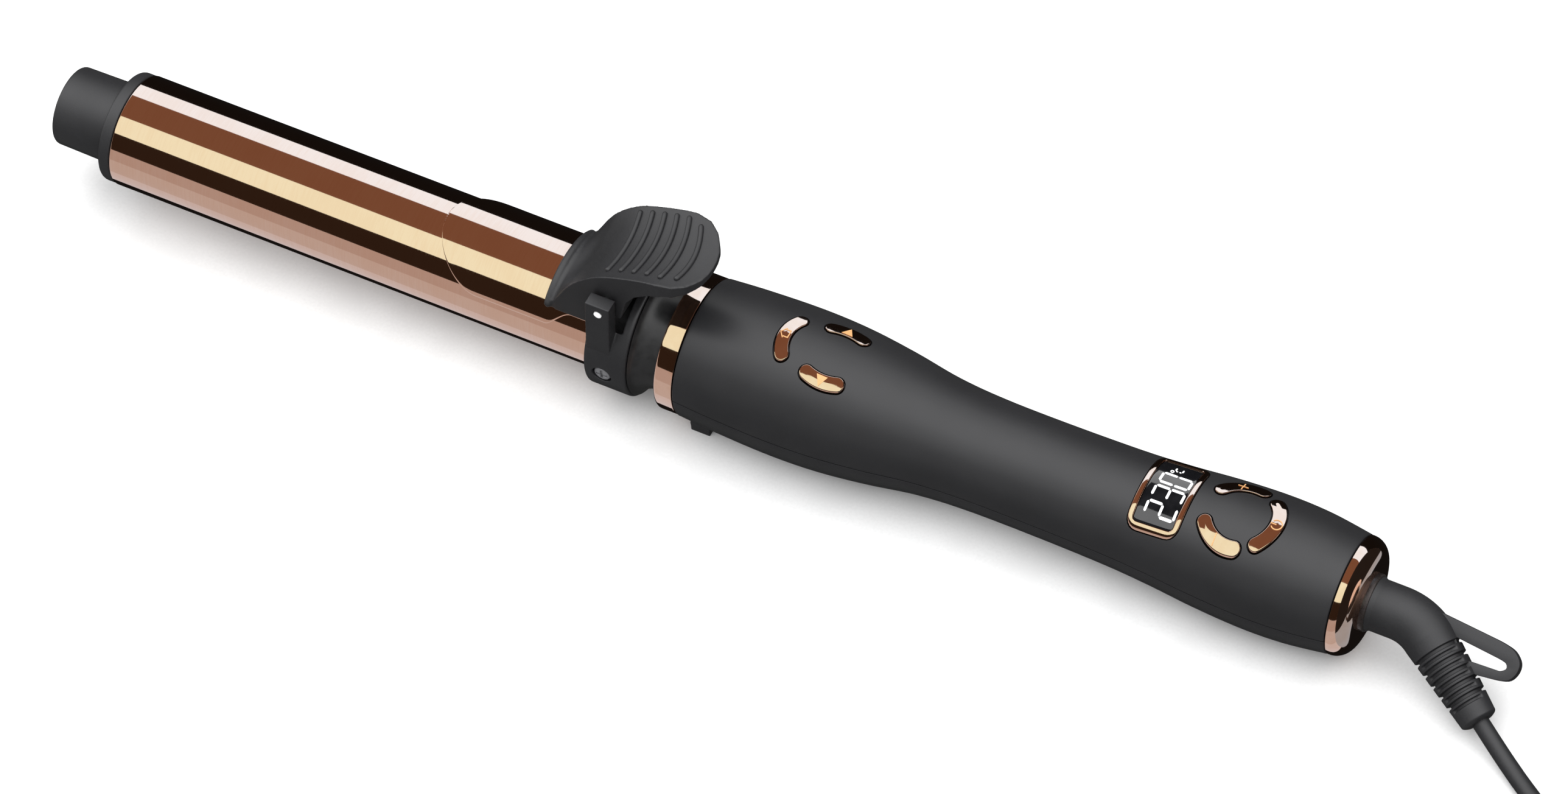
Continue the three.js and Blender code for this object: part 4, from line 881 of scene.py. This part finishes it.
def display():
    band = BEZEL[3]
    frame_rows = plateau(bezel_plan, [(0, -1.9), (0, 0.15), (0.08, 0.36), (0.3, 0.48),
        (band - 0.35, 0.48), (band - 0.12, 0.4), (band, 0.2), (band, -1.9)])
    piece("bezel_polished", rings(frame_rows, closed_rows=True), ROSE_PLATE, "handle",
        ["display_bezel"], sharp=60)
    inset = band + 0.12
    rows = plateau(bezel_plan, [(inset, -1.8), (inset, 0.08), (inset + 0.15, 0.18), (inset + 0.6, 0.2)])
    x, length, half, _ = BEZEL
    window = rings(rows, caps=False)
    h, w = length / 2 - inset - 0.6, half - inset - 0.6
    sheet = [[(x - h + 2 * h * i / 8, y, skin_top(x - h + 2 * h * i / 8, y, 0.2)) for i in range(9)]
        for y in [-w + 2 * w * k / 24 for k in range(25)]]
    window = together(window, rings(sheet, closed_points=False, caps=False))
    piece("window_smoked", window, SMOKED, "handle", ["display_window"], sharp=50)
    digits(x)


# Which bars of a seven-bar digit are lit: top, upper left, upper right, middle, lower left,
# lower right, foot.
BARS = {"2": (1, 0, 1, 1, 1, 0, 1), "3": (1, 0, 1, 1, 0, 1, 1), "0": (1, 1, 1, 0, 1, 1, 1),
    "c": (1, 1, 0, 0, 1, 0, 1)}
DIGIT = (8.4, 3.3, 0.66)                          # height, width and bar
DIGIT_PITCH = 4.75
LETTER = (2.0, 1.5, 0.36)


def digit(kind, start, top, height, width, thick):
    """One digit's bars in plan; it reads along +y with its head towards -x, and leans a little."""
    gap = 0.2
    half = height / 2
    lean = 0.03
    t = thick / 2
    bars = [((gap, 0), (width - gap, 0)), ((0, gap), (0, half - gap)),
        ((width, gap), (width, half - gap)), ((gap, half), (width - gap, half)),
        ((0, half + gap), (0, height - gap)), ((width, half + gap), (width, height - gap)),
        ((gap, height), (width - gap, height))]
    shapes = []
    for lit, (a, b) in zip(BARS[kind], bars):
        if not lit:
            continue
        a, b = Vector(a), Vector(b)
        ahead = (b - a).normalized()
        side = Vector((-ahead.y, ahead.x)) * t
        hexagon = [a, a + ahead * t + side, b - ahead * t + side, b, b - ahead * t - side,
            a + ahead * t - side]
        shapes.append([(top + q.y, start + q.x + lean * (height - q.y)) for q in hexagon])
    return shapes


def digits(x):
    shapes = []
    for i, kind in enumerate("230"):
        shapes += digit(kind, -8.3 + i * DIGIT_PITCH, x - 3.4, *DIGIT)
    shapes += digit("c", 6.6, x - 1.1, *LETTER)
    round_mark = [(x - 1.7 + 0.42 * math.cos(a), 6.1 + 0.42 * math.sin(a))
        for a in (2 * math.pi * k / 16 for k in range(17))]
    shapes.append(stroke(round_mark, 0.2))
    mark("lit_digits", shapes, "handle", DIGIT_WHITE, 0.33)


def half_shell(side):
    """One half of the handle's skin, its seam edges softened."""
    xs = [0.0, 0.12, 0.35, *[p for p in SKIN_X if 1.2 < p < HANDLE - 1.2], HANDLE - 0.35,
        HANDLE - 0.12, HANDLE]
    soft = {0.0: -0.28, 0.12: -0.1, HANDLE - 0.12: -0.1, HANDLE: -0.28}
    profile = [(x, skin(x) + soft.get(x, 0.0)) for x in xs]
    profile += [(x, skin(x) - WALL) for x in reversed(xs)]
    angles = [0, 0.35, 0.9, 1.8] + [3 + 174 * i / 87 for i in range(88)] + [178.2, 179.1, 179.65, 180]
    tuck = {0: 0.12, 0.35: 0.03, 179.65: 0.03, 180: 0.12}
    rows = []
    for angle in angles:
        a = math.radians(angle)
        drawn_in = tuck.get(angle, 0.0)
        part = SEAM / 2 * (1 - math.sin(a))
        rows.append([(x, (r - drawn_in) * math.cos(a), side * ((r - drawn_in) * math.sin(a) + part))
            for x, r in profile])
    return rings(rows)


def upper_shell():
    holes = [prism(bent_band(name, BUTTON_HALF + 0.4), 8, 30) for name in BUTTONS]
    opening = prism(bezel_plan(-0.25), 8, 30)
    body = carve(half_shell(1), *holes, opening)
    piece("shell_top", body, SOFT_SHELL, "handle", ["handle_shell_upper"], sharp=40)
    wells = []
    for name in BUTTONS:
        steps = [(-0.5, -1.5), (-0.5, -2.6)]
        wells.append(rings(plateau(lambda inset: bent_band(name, BUTTON_HALF - inset), steps)))
    piece("button_wells", together(*wells), INSIDE_PLASTIC, "handle")


def seam_tongue():
    """The tongue between the two shells: it closes the gap, so the seam reads as a dark line."""
    xs = [0.5 + (HANDLE - 1) * i / 90 for i in range(91)]
    section = ((0.55, -0.7), (1.7, -0.7), (1.7, 0.7), (0.55, 0.7))
    strips = [rings([[(x, side * (skin(x) - a), b) for a, b in section] for x in xs])
        for side in (1, -1)]
    piece("seam_tongue", together(*strips), GLOSS_NECK, "handle")


def shell_screw_places():
    """Each screw's place under the handle, and the height of its seat, deep enough to hide the head."""
    rear = HANDLE - 18
    places = [(60, 5), (60, -5), (rear, 5.5), (rear, -5.5)]
    return [(x, y, SCREW_SUNK - math.sqrt(skin(x) ** 2 - (abs(y) + SCREW_SEAT_R) ** 2))
        for x, y in places]


def shell_screws():
    for i, (x, y, seat) in enumerate(shell_screw_places()):
        head = lathe(rounded([(-5, 0), (-5, 1.1), (-0.3, 1.1), (-0.3, 2.5), (0.7, 2.5), (1.3, 1.5),
            (1.4, 0)], [0, 0.2, 0.1, 0.2, 0.4, 0.4, 0], 4), 48)
        head = crossed(head, 0.5, 1.6, 0.07)
        head.transform(turned_at((x, y, seat), math.pi / 2, "Y"))
        piece(f"shell_screw_cross_{i + 1}", head, SCREW_BLACK, "handle",
            [f"shell_screw_{i + 1}"])


def lower_shell():
    """The lower half, with the stand's pocket, its floor, two hinge lugs and four screw seats."""
    x, z, length, half = STAND
    clear = half + 0.3
    pocket_end = x + length + 0.6
    body = half_shell(-1)
    strip = [(max(at, 0.4), skin(at)) for at in [0.4 + (pocket_end + 1.1) * i / 24 for i in range(25)]]
    floor = lathe([(a, r - 0.6) for a, r in strip] + [(a, r - 3.5) for a, r in reversed(strip)],
        48, 222, 96)
    deep = [(at, skin(at)) for at in [-2 + (pocket_end + 2) * i / 24 for i in range(25)]]
    trough = lathe([(a, r + 3) for a, r in deep] + [(a, r - 2.5) for a, r in reversed(deep)],
        48, 215, 110)
    trough = shaped(trough, ("BOOLEAN", {"operation": "INTERSECT"}),
        tools=[box(-3, pocket_end, -clear, clear, -40, 0)])
    body = carve(weld(body, floor), trough, rod(x, z, 3.5, -clear, clear))
    lugs = []
    for span in ((8.6, 12.7), (-12.7, -8.6)):
        lugs.append(rod(x, z, 3.0, *span))
        lugs.append(box(x - 2.9, x + 2.9, *span, -21.9, -15.6))
    body = weld(body, *[edged(lug, 0.3, 2, 50) for lug in lugs])
    bosses, sinks = [], []
    for at, across, seat in shell_screw_places():
        under = circle(at, across, 4.2)
        bosses.append(rings([[(a, b, -skin_top(a, b, -0.6)) for a, b in under],
            [(a, b, seat + SCREW_SUNK) for a, b in under]]))
        sinks.append(prism(circle(at, across, SCREW_SEAT_R), -30, seat))
    body = carve(weld(body, *bosses), *sinks)
    piece("shell_bottom", body, SOFT_SHELL, "handle", ["handle_shell_lower"],
        sharp=40)


def end_cap():
    r = skin(HANDLE)
    x0 = HANDLE + 0.3
    bend = CAP_REAR - x0 - 0.3
    turned = [(CAP_REAR - bend + bend * math.sin(a), r - bend + bend * math.cos(a))
        for a in (math.radians(3 * i) for i in range(31))]
    profile = [(x0 - 4, r - 3), (x0, r - 3), (x0, r - 0.12), (x0 + 0.12, r), *turned, (CAP_REAR, 7.9),
        (CAP_REAR - 1.8, 7.9), (CAP_REAR - 1.8, r - 5)]
    piece("cap_polished", lathe(profile, 256), ROSE_PLATE, "handle", ["end_cap"])
    inner, outer = 4.6, 8.1
    seat = rounded([(CAP_REAR - 1.5, inner), (CAP_REAR - 1.5, outer), (CAP_REAR + 1.5, outer),
        (CAP_REAR + 1.5, inner)], [0.1, 0.1, 0.5, 0.2], 4)
    piece("relief_seat", lathe(seat, 128), BRONZE_RIM, "handle")


GROOVE_FROM = 4.45                                # along the tail, then every GROOVE_PITCH
SLOT_FROM = 6.2
GROOVE_PITCH = 3.5
GROOVES = 5


def groove_depth(s, a):
    """How deep the full grooves and, on the tail's two broad sides, the slots between them cut."""
    cut = 0.0
    fade = min(1.0, max(0.0, (abs(math.sin(a)) - 0.55) / 0.12))
    for j in range(GROOVES):
        near = abs(s - (GROOVE_FROM + GROOVE_PITCH * j))
        cut = max(cut, 0.95 * min(1.0, max(0.0, (0.62 - near) / 0.18)))
        near = abs(s - (SLOT_FROM + GROOVE_PITCH * j))
        cut = max(cut, 0.8 * fade * min(1.0, max(0.0, (0.55 - near) / 0.18)))
    return cut


def strain_relief():
    """A soft bend with a ribbed tail: full grooves with short slots between them, and a hanging loop."""
    start, bend_from, corner, bend_to, end, tail = RELIEF
    path = [start.lerp(bend_from, i / 12) for i in range(12)]
    path += [bend_from * (1 - t) ** 2 + corner * 2 * t * (1 - t) + bend_to * t * t
        for t in (i / 24 for i in range(24))]
    tail_start = len(path)
    length = (end - bend_to).length
    steps = int(length / 0.14)
    path += [bend_to.lerp(end, i / steps) for i in range(steps + 1)]
    outward = Vector((0, -tail.y, -tail.z)).normalized()
    across = Vector((1, 0, 0)).cross(outward)
    sides = 96
    rows = []
    for i, point in enumerate(path):
        ahead = (path[min(i + 1, len(path) - 1)] - path[max(i - 1, 0)]).normalized()
        side = ahead.cross(across).normalized()
        s = max(0.0, (i - tail_start)) * length / steps
        base = RELIEF_R
        if i >= tail_start:
            base = RELIEF_R + (RELIEF_END_R - RELIEF_R) * min(1.0, s / length)
        if i < 3:
            base += 0.4
        left = length - s
        if left < 1.0:
            base -= (1 - left) ** 2 * 1.3
        row = []
        for k in range(sides):
            a = 2 * math.pi * k / sides
            r = base - (groove_depth(s, a) if i >= tail_start else 0.0)
            row.append(point + side * r * math.cos(a) + across * r * math.sin(a))
        rows.append(row)
    body = rings(rows)
    x = CAP_REAR
    outer = [(x + 9.5, 5), (x + 37.2, 2.6), (x + 41.2, 1.7), (x + 43.7, -0.9), (x + 43.9, -3.6),
        (x + 42.6, -6.4), (x + 39.5, -7.3), (x + 24, -9), (x + 9.5, 1)]
    hole = [(x + 29, -5.2), (x + 39.4, -4.8), (x + 40.8, -3.6), (x + 40.2, -2.3), (x + 38.4, -1.9),
        (x + 25, -0.5)]

    def slab(outline, corner, half):
        return rings([[Vector((1, 0, 0)) * a + outward * b + across * level
            for a, b in rounded(outline, corner, 4)] for level in (-half, half)])

    loop = edged(carve(slab(outer, 2, 2.0), slab(hole, 1.0, 6.0)), 0.45, 3, 40)
    return piece("relief_moulding", together(body, loop), SOFT_PVC, "handle",
        ["strain_relief"], sharp=50)


# ---- floor and light ----

def glow(name, colour, clear):
    """A panel that only shines; a clear one also lets rays on to the panels behind it."""
    made = bpy.data.materials.new(name)
    made.use_nodes = True
    tree = made.node_tree
    tree.nodes.clear()
    shine = add(tree, "ShaderNodeEmission", {"Color": (*colour, 1.0), "Strength": 1.0})
    if clear:
        through = add(tree, "ShaderNodeBsdfTransparent")
        shine = add(tree, "ShaderNodeAddShader", {0: shine.outputs[0], 1: through.outputs["BSDF"]})
    add(tree, "ShaderNodeOutputMaterial", {"Surface": shine.outputs[0]})
    return made


# Softboxes and dark flags, by angle about the iron: 0 overhead, growing towards the near side. The
# mirror finish has its own set, of several tints; the black pieces have a softer grey one inside it.
MIRROR_PANELS = [(-121, -66, (0.008, 0.008, 0.008)), (-66, -33, (1.08, 1.68, 2.3)),
    (-33, 16.5, (0.214, 0.128, 0.085)), (16.5, 52.7, (1.05, 1.49, 1.39)),
    (52.7, 88, (0.03, 0.022, 0.016)), (88, 112, (0.5, 0.52, 0.56)), (112, 145, (0.58, 0.66, 0.74)),
    (145, 174, (0.66, 0.8, 0.96)),
    (174, 239, (0.008, 0.008, 0.008))]
BLACK_PANELS = [(-121, -66, 0.1), (-66, -45, 0.5), (-45, -20, 1.5), (-20, 25, 2.2), (25, 50, 1.3),
    (50, 88, 0.45), (88, 174, 0.15), (174, 239, 0.05)]
GLASS_PANELS = [(-66, -33, 3.6), (16.5, 52.7, 3.2)]
MIRROR_RADIUS = 1.2
BLACK_RADIUS = 1.0
GLASS_RADIUS = 0.9
TUNNEL = (-4.0, 0.72, 4.0)                        # its ends, and where the rear screen takes over
REAR_SCREEN = [(-121, 120, (0.02, 0.02, 0.02)), (120, 239, (0.4, 0.56, 0.72))]


def light_panels(title, radius, panels, receivers, clear, span=(TUNNEL[0], TUNNEL[2])):
    """Curved strips about the iron's axis that shine only on the pieces in receivers."""
    lit = bpy.data.collections.new(title)
    for made in receivers:
        lit.objects.link(made)
    shown = []
    for i, (start, end, colour) in enumerate(panels):
        angles = [math.radians(start + (end - start) * k / 48) for k in range(49)]
        rows = [[(x, -radius * math.sin(a), radius * math.cos(a)) for a in angles] for x in span]
        sheet = rings(rows, closed_points=False, caps=False)
        name = f"{title}_{i}"
        mesh = bpy.data.meshes.new(name)
        sheet.to_mesh(mesh)
        sheet.free()
        mesh.materials.append(glow(name, colour, clear))
        made = bpy.data.objects.new(name, mesh)
        scene.collection.objects.link(made)
        for ray in ("camera", "diffuse", "transmission", "volume_scatter", "shadow"):
            setattr(made, f"visible_{ray}", False)
        made.light_linking.receiver_collection = lit
        shown.append(made)
    return shown


def studio():
    mirrors = [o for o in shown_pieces() if o.data.materials[0] in (ROSE_BARREL, ROSE_PLATE)]
    glass = [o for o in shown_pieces() if o.data.materials[0] is SMOKED]
    others = [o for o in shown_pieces() if o not in mirrors and o not in glass]
    shown = light_panels("mirror_light", MIRROR_RADIUS, MIRROR_PANELS, mirrors, False, TUNNEL[:2])
    shown += light_panels("rear_screen", MIRROR_RADIUS, REAR_SCREEN, mirrors, False, TUNNEL[1:])
    for title, radius, panels, lit in (("black_light", BLACK_RADIUS, BLACK_PANELS, others),
            ("glass_light", GLASS_RADIUS, GLASS_PANELS, glass)):
        shown += light_panels(title, radius, [(a, b, (c, c, c)) for a, b, c in panels], lit, True)
    mesh = bpy.data.meshes.new("floor")
    size = 12.0
    corners = [(-size, -size, 0), (size, -size, 0), (size, size, 0), (-size, size, 0)]
    mesh.from_pydata(corners, [], [(0, 1, 2, 3)])
    mesh.materials.append(finish("matt_white_paper", "#F4F4F4", "#F8F8F8", 0.8, 0, (0.9, 0.95),
        shader={"Specular IOR Level": 0.0}))
    ground = bpy.data.objects.new("floor", mesh)
    scene.collection.objects.link(ground)
    ground.visible_glossy = False
    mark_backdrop(ground, *shown)

    world = bpy.data.worlds.new("studio")
    scene.world = world
    world.use_nodes = True
    sky = world.node_tree.nodes["Background"]
    sky.inputs["Color"].default_value = (1.0, 1.0, 1.0, 1.0)
    sky.inputs["Strength"].default_value = 0.85
    overhead = bpy.data.lights.new("overhead", "AREA")
    overhead.shape = "SQUARE"
    overhead.size = 6.0
    overhead.energy = 234.0
    lamp = bpy.data.objects.new("overhead", overhead)
    lamp.location = (0, 0, 4)
    lamp.visible_glossy = False
    scene.collection.objects.link(lamp)


place_camera()
cord = lay_cord()
relief = strain_relief()
tie = coil_tie()
plug = mains_plug()
cool_tip()
barrel_tube()
neck_tube()
collar()
collar_screw("screw_near", -1, "collar_screw_near")
collar_screw("screw_far", 1, "collar_screw_far")
hinge_pin()
clamp_plate()
thumb_lever()
front_ring()
upper_shell()
lower_shell()
seam_tongue()
shell_screws()
for key in BUTTONS:
    button(key)
button_marks()
display()
end_cap()
dress_inner_nodes()
studio()
